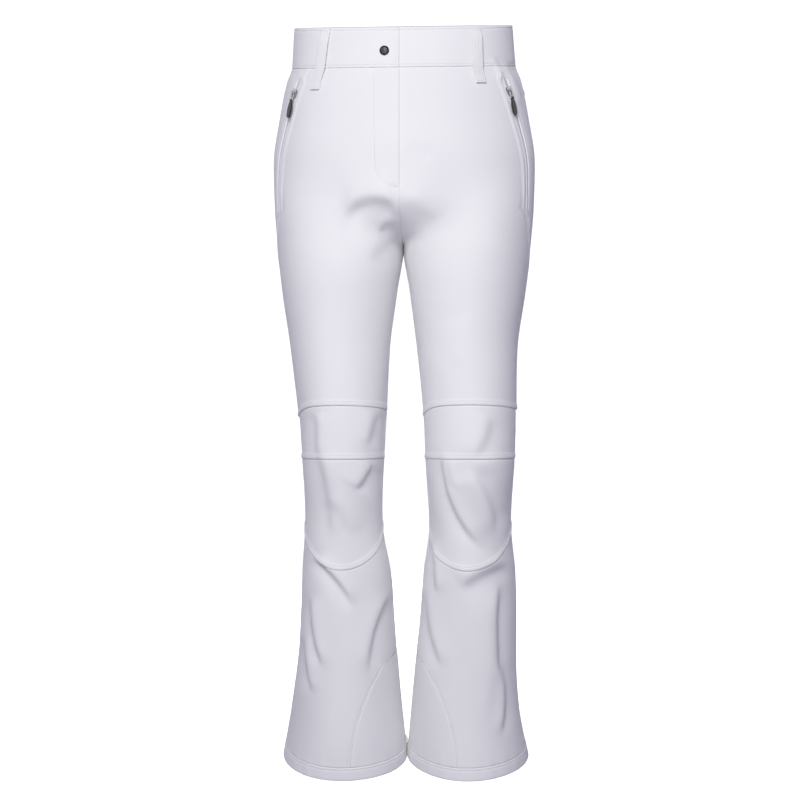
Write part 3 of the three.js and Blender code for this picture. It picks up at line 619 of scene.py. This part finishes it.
def woven(name, light, shade, thread, depth, roughness, sheen, twill=0.0):
    """Plain weave on the piece's own UV map: two crossed sine waves, one thread apart, with slow mottling."""
    material, tree = new_material(name)
    uv = Node(tree, "ShaderNodeUVMap", {"uv_map": "cloth"}).out()
    split = Node(tree, "ShaderNodeSeparateXYZ", {}, {0: uv})
    u, v = split.out(0), split.out(1)
    turns = math.pi / (thread * MM)
    warp = ((u + v * twill) * turns).sine()
    weft = ((v - u * twill) * turns).sine()
    weave = (warp * weft).absolute()
    slub = noise(tree, uv, 900.0, 2.0)
    place = Node(tree, "ShaderNodeTexCoord").out("Object")
    mottle = noise(tree, place, 14.0, 3.0)
    colour = colour_mix(tree, mottle * 0.5 + weave * 0.35 + slub * 0.15, light, shade)
    height = weave * -0.7 + slub * 0.5
    raised = {"Strength": 0.5, "Distance": depth * MM, "Height": height}
    bump = Node(tree, "ShaderNodeBump", {}, raised).out()
    rough = mottle * 0.12 + weave * 0.06 + (roughness - 0.09)
    inputs = {"Base Color": colour, "Roughness": rough, "Normal": bump, "Sheen Weight": sheen}
    finish_material(tree, {**inputs, "Sheen Roughness": 0.5, "Specular IOR Level": 0.3})
    return material


def plain(name, light, shade, roughness, metallic=0.0, scale=300.0, bump_depth=0.02, coat=0.0):
    """Metal, plastic or thread: two tones and a fine grain from noise on the object's own coordinates."""
    material, tree = new_material(name)
    place = Node(tree, "ShaderNodeTexCoord").out("Object")
    grain = noise(tree, place, scale, 3.0)
    worn = noise(tree, place, 90.0, 2.0)
    raised = {"Strength": 0.4, "Distance": bump_depth * MM, "Height": grain}
    bump = Node(tree, "ShaderNodeBump", {}, raised).out()
    colour = colour_mix(tree, worn, light, shade)
    inputs = {"Base Color": colour, "Roughness": grain * 0.14 + (roughness - 0.07), "Normal": bump}
    finish_material(tree, {**inputs, "Metallic": metallic, "Coat Weight": coat})
    return material


SHELL = woven("white_softshell", (0.83, 0.83, 0.835), (0.77, 0.77, 0.785), 0.42, 0.12, 0.82, 0.2)
LINING = woven("grey_taffeta", (0.6, 0.61, 0.65), (0.52, 0.53, 0.57), 0.3, 0.06, 0.55, 0.05)
TAPE = woven("white_zip_tape", (0.74, 0.75, 0.78), (0.62, 0.63, 0.67), 0.6, 0.2, 0.7, 0.1, twill=0.5)
THREAD_WHITE = plain("white_thread", (0.78, 0.79, 0.82), (0.7, 0.71, 0.75), 0.5, scale=2500)
NICKEL = plain("brushed_nickel", (0.5, 0.5, 0.51), (0.3, 0.3, 0.31), 0.24, 1.0, 1400, 0.03)
GUNMETAL = plain("gunmetal", (0.026, 0.027, 0.031), (0.014, 0.015, 0.018), 0.36, 0.7, 900, 0.02)
GLOSS_BLACK = plain("gloss_black", (0.006, 0.006, 0.007), (0.01, 0.01, 0.012), 0.17, 0.0, 260, 0.03, 0.1)
ZIP_COIL = plain("white_nylon_coil", (0.7, 0.71, 0.74), (0.6, 0.61, 0.65), 0.38, scale=1500)


def dress(obj, material):
    """Gives a piece its material."""
    obj.data.materials.clear()
    obj.data.materials.append(material)


# ---- How pieces move ----
# Cloth above the knee rides on the seat, the kick patches, hems and cuffs on the shin, and the fly's tab and
# placket on the flap. The knee and lower leg panels, and the right front and waistband at the fly, are baked
# in place.

FLY_TOP_WIDTH, FLY_END_WIDTH = 42, 4
FLY_HALF, FLY_SLANT = 7.0, math.radians(35)


def fly_fold(drop):
    """The turn of the line on which the fly opens."""
    share = np.clip(drop / FORK_TOP, 0, 1)
    return turn_across(mix(FLY_TOP_WIDTH, FLY_END_WIDTH, share), drop)


def moves(obj, body):
    """Rides on a body; a piece of a knee ("knee_left", "knee_right") or of the fly ("fly") is baked in place
    instead.
    """
    if body.startswith("knee_"):
        side = body[5:]
        x = 0.0875 if side == "left" else -0.0875
        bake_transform(obj)
    elif body == "fly":
        top, low = (surface(fly_fold(drop), drop) * [-1, 1, 1] * MM for drop in (10.0, FORK_TOP))
        along = unit(low - top)
        across = np.array([math.cos(FLY_SLANT), -math.sin(FLY_SLANT), 0])
        across = unit(across - along * (along @ across)) * FLY_HALF * MM
        middle = (top + low) / 2
        tuple(middle - across)
        tuple(middle + across)
        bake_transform(obj)
    else:
        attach(obj, body)


def sew(name, side, rows, body, material=THREAD_WHITE, slot="shell_cloth", **sizes):
    """Rows of stitches or coils with their finish, moving as the cloth that they are sewn to."""
    thread = stitch_mesh(name, side, rows, **sizes)
    dress(thread, material)
    moves(thread, body)


def cloth_piece(node, side, outside, inside, material, body, cut=None):
    """A closed sheet with its finish, its way of moving and its flat cut, in its CAD node's place."""
    obj = closed_sheet(f"{node}_cloth", side, outside, inside)
    dress(obj, material)
    moves(obj, body)
    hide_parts(node)
    flat, area = flat_cut(outside if cut is None else cut)


def cloth_panel(
    node, side, left, right, top, bottom, body,
    stitched=(), welts=(), flush=(), outside=0.0, thick=CLOTH, material=SHELL, slot="shell_cloth",
    extra=None, insets=None, curved=(),
):
    """A sewn panel between four seams, with its stitching. Stitched edges get a row of thread, welted
    edges lie thicker, flush edges don't roll in. extra(turn, drop, distances) adds to the lift."""
    nine = np.linspace(0, 1, 9)
    coarse = surface(*panel_place(left, right, top, bottom, nine, nine, curved))
    wide = float(run_lengths(coarse, 1)[:, -1].max())
    tall = float(run_lengths(coarse, 0)[-1].max())
    steps = shares(wide, ACROSS_STEP), shares(tall, DOWN_STEP)
    turn, drop = panel_place(left, right, top, bottom, *steps, curved)
    base = surface(turn, drop)
    distance = edge_distances(base, curved)
    lift = ease(side, turn, drop) + outside
    insets = insets or {}
    for edge, d in distance.items():
        if edge in welts:
            lift = lift + WELT_HEIGHT * (1 - smooth((d - STITCH_INSET - 0.8) / 1.6))
        if edge not in flush:
            lift = lift - ROLL_DEPTH * rolled(d, ROLL_WIDTH)
        if edge in stitched:
            inset = insets.get(edge, STITCH_INSET)
            lift = lift - GROOVE_DEPTH * bell((d - inset) / GROOVE_WIDTH)
    if extra is not None:
        lift = lift + extra(turn, drop, distance)
    face = surface(turn, drop, lift)
    cloth_piece(node, side, face, surface(turn, drop, lift - thick), material, body, cut=base)
    rows = [inset_row(face, distance[e], e, insets.get(e, STITCH_INSET)) for e in stitched]
    if rows:
        sew(f"{node}_stitching", side, rows, body, slot=slot)


# ---- Front panels and the lapped fly ----
# Each front is one piece of softshell from the waistband to the knee band. The right front laps over
# the left at the fly, held by a J of stitching, and each pocket edge is turned in and stitched.

POCKET_TOP, POCKET_END, SIDE_PANEL_END = 75, 258, 330
SLOT_WIDTH, SLOT_RAMP = 11.4, 6
J_TOP, J_LOW, J_BEND, J_END = 37.0, 33.0, 198.0, 232.0


def pocket_line(drop):
    """The zip's line: a straight slant down to its end, then a bend back to the side seam."""
    slant = mix(0.327, 0.413, (drop - POCKET_TOP) / (POCKET_END - POCKET_TOP))
    bend = np.clip((drop - POCKET_END) / (SIDE_PANEL_END - POCKET_END), 0, 1)
    return mix(slant, 0.492, bend)


def slot_turn(drop):
    """Half the opening for the zip as a share of a turn, closing over a short ramp at each end."""
    opens = np.clip((drop - POCKET_TOP + SLOT_RAMP) / SLOT_RAMP, 0, 1)
    closes = np.clip((POCKET_END + SLOT_RAMP - drop) / SLOT_RAMP, 0, 1)
    return np.minimum(opens, closes) * SLOT_WIDTH / 2 / turn_length(pocket_line(drop), drop)


def pocket_front_edge(drop):
    """The front panel's outer edge: the zip's front edge, then the side seam."""
    return np.where(drop > SIDE_PANEL_END, 0.5, pocket_line(drop) - slot_turn(drop))


def j_distance(x, drop):
    """Distance from the J of stitching: a straight run beside the fly, then a quarter ellipse to its end."""
    straight = np.abs(x - mix(J_TOP, J_LOW, drop / J_BEND))
    radius = np.hypot(x / J_LOW, (drop - J_BEND) / (J_END - J_BEND))
    return np.where(drop < J_BEND, straight, np.abs(radius - 1) * J_LOW)


def pocket_hollow(drop, distance):
    """The pocket's edge lies flat at its lower end, where the pull hangs when the zip is open."""
    return -1.5 * bell((drop - 267) / 24) * (1 - smooth((distance["right"] - 7) / 7))


def lapped_edge(turn, drop, distance):
    """The right front at the fly: a turned edge 1 mm proud, and the groove of the J stitching."""
    above = 1 - smooth((drop - J_END + 10) / 14)
    proud = 0.9 * (1 - smooth((distance["left"] - 9) / 22)) * above
    x = surface(turn, drop)[..., 0]
    proud = proud - 0.6 * (1 - smooth(distance["left"] / 1.6)) * above
    proud = proud + pocket_hollow(drop, distance)
    return proud - 0.9 * bell(j_distance(x, drop) / 1.3) * (drop < J_END)


def under_edge(turn, drop, distance):
    """The left front at the fly lies lower, under the lap."""
    under = -0.9 * (1 - smooth(distance["left"] / 9)) * (1 - smooth((drop - J_END + 10) / 14))
    return under + pocket_hollow(drop, distance)


def band_seam(side):
    """The knee band's upper seam: level, with a droop at the end that lies to the wearer's right."""
    if side == "right":
        return lambda turn: KNEE_BAND + 9 * smooth((np.asarray(turn) - 0.3) / 0.2) ** 2
    return lambda turn: KNEE_BAND + 9 * smooth((0.19 - np.asarray(turn)) / 0.19) ** 2


for side in ("left", "right"):
    on_right = side == "right"
    cloth_panel(
        f"front_panel_{side}", side, 0, pocket_front_edge, BAND, band_seam(side),
        "fly" if on_right else "seat",
        stitched=("bottom", "right"), welts=("bottom", "right"), flush=("left",),
        extra=lapped_edge if on_right else under_edge,
    )

j_down = np.linspace(BAND + 4, J_BEND, 60)
j_angle = np.linspace(0, np.pi / 2 * 0.96, 30)[1:]
j_x = np.concatenate([mix(J_TOP, J_LOW, j_down / J_BEND), J_LOW * np.cos(j_angle)])
j_drop = np.concatenate([j_down, J_BEND + (J_END - J_BEND) * np.sin(j_angle)])
j_turn = turn_across(j_x, j_drop)
j_path = surface(j_turn, j_drop, ease("right", j_turn, j_drop) + 0.15)
j_out = np.cross(
    surface(j_turn, j_drop + 1) - surface(j_turn, j_drop - 1),
    surface(j_turn + 0.01, j_drop) - surface(j_turn - 0.01, j_drop),
)
sew("fly_j_stitching", "right", [(j_path, j_out)], "fly")

# ---- Hip side panels ----
# The piece behind each pocket zip, from the waistband to where it tapers into the side seam.

for side in ("left", "right"):
    cloth_panel(
        f"hip_side_panel_{side}", side, lambda drop: pocket_line(drop) + slot_turn(drop), 0.5,
        BAND, SIDE_PANEL_END, "seat", stitched=("left",),
    )

# ---- Back yokes and back panels ----
# A shaped yoke under the waistband takes up the roundness of the seat. The back panel runs from it to
# the knee. The yoke seam and the centre back seam are topstitched.


def yoke_seam(turn):
    """The yoke's lower seam: higher at the side, lower at the centre back."""
    return mix(96, 122, (turn - 0.5) / 0.5)


def back_knee_top(turn):
    """The knee panel's upper seam, arched up behind the knee."""
    return KNEE_BAND - 14 * np.sin(2 * np.pi * (turn - 0.5))


def back_knee_end(turn):
    """The knee panel's lower seam, arched down behind the knee."""
    return CALF - 18 + 12 * np.sin(2 * np.pi * (turn - 0.5))


for side in ("left", "right"):
    cloth_panel(
        f"back_yoke_{side}", side, 0.5, 1, BAND, yoke_seam, "seat",
        stitched=("bottom",), welts=("bottom",),
    )
    cloth_panel(
        f"back_panel_{side}", side, 0.5, 1, yoke_seam, back_knee_top, "seat",
        stitched=("right", "bottom") if side == "left" else ("bottom",),
        welts=("right",) if side == "left" else (),
    )

# ---- Knee band, shield and back knee panel ----
# The knee is pre-shaped: a straight band in front, a shield that ends in a deep U below it, and an
# arched panel behind. The seams above and below the band and round the U are welted and stitched.


def shield_seam(turn):
    """The U: from the side seams down to its tip at the middle of the front."""
    return mix(694, 745, np.sin(2 * np.pi * turn))


for side in ("left", "right"):
    cloth_panel(
        f"knee_band_{side}", side, 0, 0.5, band_seam(side), KNEE, f"knee_{side}",
        stitched=("bottom",), welts=("bottom",),
    )
    cloth_panel(
        f"knee_shield_{side}", side, 0, 0.5, KNEE, shield_seam, f"knee_{side}",
        stitched=("bottom",), welts=("bottom",),
    )
    cloth_panel(
        f"back_knee_panel_{side}", side, 0.5, 1, back_knee_top, back_knee_end, f"knee_{side}",
    )

# ---- Lower legs and kick patches ----
# Two panels flare from the knee to the hem. A tougher patch of the same cloth is set into the inner
# hem against ski edges, with one close row of stitching round its curve.

KICK_TOP, KICK_POINT = 866, 0.014
KICK_FRONT, KICK_BACK = 0.225, 0.17
KICK_INSET = 2.4


def kick_edge(drop, widest):
    """How far the patch reaches from the inseam: nothing above it, then a quarter ellipse down to the hem."""
    t = np.clip((drop - KICK_TOP) / (HEM_SEAM - KICK_TOP), 0, 1)
    return np.where(drop < KICK_TOP, 0, mix(KICK_POINT, widest, np.sqrt(1 - (1 - t) ** 2)))


for side in ("left", "right"):
    cloth_panel(
        f"lower_front_panel_{side}", side, lambda drop: kick_edge(drop, KICK_FRONT), 0.5,
        shield_seam, HEM_SEAM, f"knee_{side}",
        stitched=("left",), insets={"left": KICK_INSET}, curved=("left",),
    )
    cloth_panel(
        f"lower_back_panel_{side}", side, 0.5, lambda drop: 1 - kick_edge(drop, KICK_BACK),
        back_knee_end, HEM_SEAM, f"knee_{side}",
        stitched=("right",), insets={"right": KICK_INSET}, curved=("right",),
    )
    cloth_panel(
        f"kick_patch_{side}", side,
        lambda drop: -kick_edge(np.maximum(drop, KICK_TOP), KICK_BACK),
        lambda drop: kick_edge(np.maximum(drop, KICK_TOP), KICK_FRONT),
        KICK_TOP, HEM_SEAM, f"shin_{side}", curved=("left", "right"),
    )

# ---- Hem bands and inner snow cuffs ----
# The hem is turned up twice and stitched 16 mm above its edge. The cuff is a taffeta sleeve inside it,
# sewn to the leg above the hem, that closes round the boot.

CUFF_TOP, CUFF_END = 880, 985
CUFF_TOP_INSET, CUFF_INSET, FACING = 6.5, 14.0, 1.2
HEM_CLOTH, HEM_STITCH = 2.6, 3.2


def cloth_ring(node, side, top, bottom, lift_of, thick, material, stitched_at=None):
    """A tube of cloth round the leg between two drops; lift_of(turn, drop, share down) shapes it."""
    tall = bottom - top
    down = np.unique(np.concatenate([shares(tall, DOWN_STEP), [0.02, 0.06, 0.94, 0.98]]))
    turn, share = np.meshgrid(np.linspace(0, 1, 181)[:-1], down)
    drop = mix(top, bottom, share)
    lift = lift_of(turn, drop, share)
    face = surface(turn, drop, lift)
    obj = closed_sheet(f"{node}_cloth", side, face, surface(turn, drop, lift - thick), ring=True)
    dress(obj, material)
    moves(obj, f"shin_{side}")
    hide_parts(node)
    if stitched_at is not None:
        k = int(np.argmin(np.abs(drop[:, 0] - stitched_at)))
        closed = np.arange(face.shape[1] + 1) % face.shape[1]
        sew(f"{node}_stitching", side, [(face[k, closed], outward_of(face)[k, closed])], f"shin_{side}")


def hem_lift(side):
    """The hem's lift: a plump turned edge, rolled in at the bottom, with a groove at its stitching."""

    def lift_of(turn, drop, share):
        groove = bell((drop - HEM_SEAM - HEM_STITCH) / GROOVE_WIDTH)
        lift = ease(side, turn, drop) + 0.5 - 0.5 * groove
        return lift - 1.1 * rolled(1 - share, 0.2) - 0.8 * rolled(share, 0.1)

    return lift_of


def cuff_lift(turn, drop, share):
    """The cuff falls away from the leg as the root of the way down, gathered in soft ripples."""
    ripple = 0.9 * wave(14 * turn) * share * (1 - share)
    return -mix(CUFF_TOP_INSET, CUFF_INSET, np.sqrt(share)) + ripple


for side in ("left", "right"):
    cloth_ring(
        f"hem_band_{side}", side, HEM_SEAM, HEM, hem_lift(side), HEM_CLOTH, SHELL,
        stitched_at=HEM_SEAM + HEM_STITCH,
    )
    cloth_ring(
        f"snow_cuff_{side}", side, CUFF_TOP, CUFF_END, cuff_lift, FACING, LINING,
    )

# ---- Waistband, its facing and the tab end ----
# A shaped band of doubled softshell, faced with taffeta. It is stitched close to its top edge and just
# above its lower seam. The right end laps over the left and carries the snap.

TAB_CLOTH = 2.8
UNDERLAP_DEPTH, UNDERLAP_CLOTH = 7.7, 1.6


def tab_edge(turn, drop, distance):
    """The right end of the band lies 0.5 mm proud and rolls in at its edge."""
    proud = 0.5 * (1 - smooth((distance["left"] - 6) / 18))
    return proud - 0.7 * (1 - smooth(distance["left"] / 1.6))


def under_tab(turn, drop, distance):
    """The left end of the band lies lower, under the tab."""
    return -0.9 * (1 - smooth(distance["left"] / 8))


for side in ("left", "right"):
    on_right = side == "right"
    cloth_panel(
        f"waistband_{side}", side, 0, 1, 0, BAND, "fly" if on_right else "seat",
        stitched=("top", "bottom", "left") if on_right else ("top", "bottom"),
        insets={"top": 4.4, "bottom": 3.4, "left": 4.4}, flush=("left",),
        extra=tab_edge if on_right else under_tab,
    )
    cloth_panel(
        f"waistband_facing_{side}", side, fly_fold if on_right else 0, 1, 1, BAND, "seat",
        outside=-CLOTH - 0.45, thick=FACING, material=LINING, slot="lining_cloth", flush=("top",),
    )

cloth_panel(
    "waistband_tab", "right", 0, fly_fold, 1, BAND, "fly_flap",
    outside=-CLOTH - 0.1, thick=TAB_CLOTH - CLOTH - 0.1, material=LINING, slot="lining_cloth",
)
cloth_panel(
    "fly_placket", "right", 0, fly_fold, BAND, 238, "fly_flap",
    outside=-CLOTH - 0.1, thick=0.35, material=LINING, slot="lining_cloth",
)
cloth_panel(
    "waistband_underlap", "right",
    lambda drop: turn_across(-14, drop), lambda drop: turn_across(44, drop),
    1, BAND, "seat", outside=-UNDERLAP_DEPTH, thick=UNDERLAP_CLOTH,
    stitched=("top", "right"),
)

# ---- Pocket bags ----
# Taffeta bags hang behind the fronts from the pocket openings.

for side in ("left", "right"):
    cloth_panel(
        f"pocket_bag_{side}", side, 0.17, lambda drop: pocket_line(np.minimum(drop, POCKET_END)),
        POCKET_TOP, POCKET_END + 32, "seat", outside=-CLOTH - 2.6, thick=1.2,
        material=LINING, slot="lining_cloth",
    )

# ---- Belt loops ----
# Strips of shell cloth folded in three, stitched down both sides and tacked above and below the band.

LOOP_WIDTH, LOOP_CLOTH = 14, 1.8
LOOP_SHARES = [0, 0.04, 0.07, 0.12, 0.18, 0.32, 0.53, 0.71, 0.78, 0.85, 0.92, 1]
LOOP_LIFTS = [0.5, 0.5, 0.7, 1.8, 3.0, 3.6, 3.6, 3.0, 2.0, 1.1, 0.7, 0.7]
LOOP_ROUND = 0.5
LOOP_STITCH = 2.6


def belt_loop(node, side, turn, foot=87, slant=(0.0, 0.0)):
    """A strip down one turn to its foot, moved across by slant at its top and foot; its lift along the
    loop is a smooth line through its tacks and its bridge."""
    half = LOOP_WIDTH / 2 / float(turn_length(np.array(turn), np.array(27.5)))
    drop = np.linspace(1, foot, 128)
    lift = np.interp(drop, mix(1, foot, np.array(LOOP_SHARES)), LOOP_LIFTS)
    kernel = bell(np.linspace(-2, 2, 9))
    lift = np.convolve(np.pad(lift, 4, mode="edge"), kernel / kernel.sum(), mode="valid")
    s = np.concatenate([[0, 0.02, 0.06], np.linspace(0.12, 0.88, 15), [0.94, 0.98, 1]])
    across, down = np.meshgrid(mix(-half, half, s), drop)
    across = across + mix(slant[0], slant[1], (down - 1) / (foot - 1)) * 2 * half / LOOP_WIDTH
    edge = np.minimum(s, 1 - s) * LOOP_WIDTH
    crown = -LOOP_ROUND * rolled(edge, 1.2) - 0.3 * bell((edge - LOOP_STITCH) / 0.6)
    cloth = ease(side, turn + across, down) * 0.5
    high = lift[:, None] + LOOP_CLOTH + crown[None] + cloth
    face = surface(turn + across, down, high)
    under = surface(turn + across, down, lift[:, None] + cloth)
    cloth_piece(node, side, face, under, SHELL, "seat")
    out = outward_of(face)
    rows = [(face[3:-3, k], out[3:-3, k]) for k in (4, len(s) - 5)]
    rows += [(face[k, 2:-2], out[k, 2:-2]) for k in (4, 6, 121, 123)]
    sew(f"{node}_stitching", side, rows, "seat", pitch=2.6, half=1.1)


belt_loop("belt_loop_front_left", "left", 0.238, foot=80, slant=(-1, -3))
belt_loop("belt_loop_back_left", "left", 0.7)
belt_loop("belt_loop_front_right", "right", 0.238, slant=(-3.5, 3.5))
belt_loop("belt_loop_back_right", "right", 0.7)
belt_loop("belt_loop_centre_back", "left", 1.0)

# ---- Pocket zips ----
# A nylon coil zip on woven tape fills each pocket slot. The slider is nickel with a wire link and a
# moulded black pull that hangs straight down.

ZIP_HIDDEN, ZIP_CLOTH, COIL_PITCH = 9, 0.9, 1.15
COIL = {"pitch": 3.0, "half": 1.6, "radius": 0.42, "material": ZIP_COIL, "slot": "zip_tape"}
HALF_TAPE = np.array([0.4, 1.0, 1.7, 2.4, 3.2, 4.2, 6, 9])
HALF_LIFT = np.array([0.15, 0.2, -0.2, -0.7, -0.9, -1.2, -1.8, -2])
tape_x = np.concatenate([-HALF_TAPE[::-1], HALF_TAPE])
tape_lift = np.concatenate([HALF_LIFT[::-1], HALF_LIFT])
zip_drop = np.linspace(POCKET_TOP - ZIP_HIDDEN, POCKET_END + ZIP_HIDDEN, 160)
zip_turn = pocket_line(zip_drop)
tape_turn = zip_turn[:, None] + tape_x[None] / turn_length(zip_turn, zip_drop)[:, None]
tape_drop = np.repeat(zip_drop[:, None], len(tape_x), axis=1)

for side in ("left", "right"):
    tape_high = ease(side, tape_turn, tape_drop) + tape_lift[None]
    tape_face = surface(tape_turn, tape_drop, tape_high)
    cloth_piece(
        f"pocket_zip_tape_{side}", side, tape_face, surface(tape_turn, tape_drop, tape_high - ZIP_CLOTH),
        TAPE, "seat",
    )
    tape_out = outward_of(tape_face)
    run = run_lengths(tape_face, 0)[:, 7]
    coil_at = np.searchsorted(run, np.arange(ZIP_HIDDEN, run[-1] - ZIP_HIDDEN, COIL_PITCH))
    coil_rows = [(tape_face[k, 5:11], tape_out[k, 5:11]) for k in coil_at]
    sew(f"pocket_zip_coil_{side}", side, coil_rows, "seat", **COIL)
    dress(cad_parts[f"pocket_slider_{side}"], NICKEL)
    dress(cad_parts[f"pocket_pull_link_{side}"], NICKEL)
    dress(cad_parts[f"pocket_pull_tab_{side}"], GLOSS_BLACK)

# ---- Fly zip, its shield and the snap ----
# Behind the lap, a zip on flat tape lies over a shield of taffeta. The cap is gunmetal, pressed
# through the tab onto its socket; the stud and its post sit on the underlap.

FLY_ZIP_INSET = 11
fly_top = surface(turn_across(FLY_ZIP_INSET, BAND + 4), BAND + 4)
fly_low = surface(turn_across(FLY_ZIP_INSET, FORK_TOP - 4), FORK_TOP - 4)
fly_y = unit(fly_top - fly_low)
fly_z = unit(np.array([0, -1.0, 0]) + fly_y * fly_y[1])
fly_x = np.cross(fly_y, fly_z)
fly_length = float(np.linalg.norm(fly_top - fly_low))


def flat_place(x, y, z):
    """Points in the fly zip's own plane: x across, y up along it, z out of the cloth."""
    x, y, z = np.broadcast_arrays(x, y, z)
    return fly_top + x[..., None] * fly_x + y[..., None] * fly_y + z[..., None] * fly_z


def flat_sheet(node, x0, x1, y0, y1, z, thick, material):
    """A flat strip with softly rounded edges in the fly zip's plane."""
    s, t = shares(x1 - x0, 3), shares(y1 - y0, 3)
    x, y = np.meshgrid(mix(x0, x1, s), mix(y1, y0, t))
    edge = np.minimum(np.minimum(x - x0, x1 - x), np.minimum(y - y0, y1 - y))
    low = 0.3 * thick * rolled(edge, 1.2)
    face, back = flat_place(x, y, z - low), flat_place(x, y, z - thick + low)
    cloth_piece(node, "right", face, back, material, "seat")


shield_middle = -FLY_ZIP_INSET + (46 - 14) / 2
flat_sheet(
    "fly_underlap", -shield_middle - 30, -shield_middle + 30, -fly_length - 2, 2,
    -UNDERLAP_DEPTH, UNDERLAP_CLOTH, LINING,
)
flat_sheet(
    "fly_zip_tape", -11, 11, -fly_length, 0, -UNDERLAP_DEPTH + 1.4, 1.0, TAPE,
)
tooth_y = -np.arange(3, fly_length - 3, COIL_PITCH)
tooth_x = np.linspace(-1.7, 1.7, 5)
tooth_out = np.repeat(fly_z[None], 5, axis=0)
tooth_rows = [(flat_place(tooth_x, y, -UNDERLAP_DEPTH + 1.7), tooth_out) for y in tooth_y]
sew("fly_zip_coil", "right", tooth_rows, "seat", **COIL)
dress(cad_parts["fly_zip_slider"], NICKEL)
for part in ("snap_cap", "snap_socket", "snap_stud", "snap_post"):
    dress(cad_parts[part], GUNMETAL)

# ---- Studio ----
# A round white floor that sweeps up into a wall all round, a soft light high in front, a weaker one
# at the height of the hips, one behind for the back, and a faint lavender surround.

FLOOR_DROP = 1.068
sweep = np.array([(0.01, 0), (4.6, 0), (5.2, 0.08), (5.7, 0.36), (5.95, 0.9), (6.0, 7)])
sweep_turn = np.linspace(0, 2 * np.pi, 97)[:-1]
sweep_x, sweep_y = sweep[:, :1] * np.cos(sweep_turn), sweep[:, :1] * np.sin(sweep_turn)
sweep_z = np.repeat(sweep[:, 1:] - FLOOR_DROP, len(sweep_turn), axis=1)
sweep_points = np.stack([sweep_x, sweep_y, sweep_z], axis=-1).reshape(-1, 3)
sweep_middle = np.arange(len(sweep_turn))[None]
sweep_faces = [sweep_middle, grid_faces(len(sweep), len(sweep_turn), True)]
floor = mesh_object("studio_sweep", sweep_points, sweep_faces)
floor_material, floor_tree = new_material("studio_white")
glow = {"Emission Color": (1, 1, 1, 1), "Emission Strength": 0.9}
finish_material(
    floor_tree, {"Base Color": (0.9, 0.9, 0.9, 1), "Roughness": 0.9, "Specular IOR Level": 0.1, **glow}
)
floor.data.materials.append(floor_material)
floor.visible_diffuse = False


def area_light(name, place, aim, size, power, colour):
    """A square soft light at a place, facing a point."""
    light = bpy.data.lights.new(name, "AREA")
    light.shape = "SQUARE"
    light.size = size
    light.energy = power
    light.color = colour
    obj = bpy.data.objects.new(name, light)
    obj.location = place
    obj.rotation_euler = (Vector(aim) - Vector(place)).to_track_quat("-Z", "Y").to_euler()
    bpy.context.scene.collection.objects.link(obj)


AIM = (0, 0, -0.5)
area_light("key_light", (-0.3, -2.75, 1.35), (0, 0, -0.35), 0.8, 54, (1, 0.993, 0.968))
area_light("front_light", (0.1, -3.2, 0.1), AIM, 1.4, 37, (1, 0.992, 0.972))
area_light("back_light", (0.2, 3.3, 0.5), AIM, 1.2, 75, (1, 0.993, 0.975))
world = bpy.data.worlds.new("studio_air")
world.use_nodes = True
world.node_tree.nodes["Background"].inputs[0].default_value = (0.72, 0.69, 1, 1)
world.node_tree.nodes["Background"].inputs[1].default_value = 0.27
bpy.context.scene.world = world
bpy.context.scene.view_settings.view_transform = "Standard"
bpy.context.scene.view_settings.look = "None"

# ---- Camera ----
# Level with the middle of the garment, a little to the wearer's left, with the pants hanging a touch
# off plumb in the frame.

CAMERA_DISTANCE, CAMERA_HEIGHT, CAMERA_SHIFT = 2.785, -0.520, -0.006
CAMERA_SIDE, CAMERA_ROLL = 3.4, -0.17
side_angle = math.radians(CAMERA_SIDE)
camera_data = bpy.data.cameras.new("camera")
camera_data.lens = 90
camera_data.sensor_width = 36
camera = bpy.data.objects.new("camera", camera_data)
camera.location = (
    CAMERA_DISTANCE * math.sin(side_angle) + CAMERA_SHIFT,
    -CAMERA_DISTANCE * math.cos(side_angle),
    CAMERA_HEIGHT,
)
camera.rotation_mode = "XYZ"
camera.rotation_euler = (math.pi / 2, math.radians(-CAMERA_ROLL), side_angle)
bpy.context.scene.collection.objects.link(camera)
bpy.context.scene.camera = camera
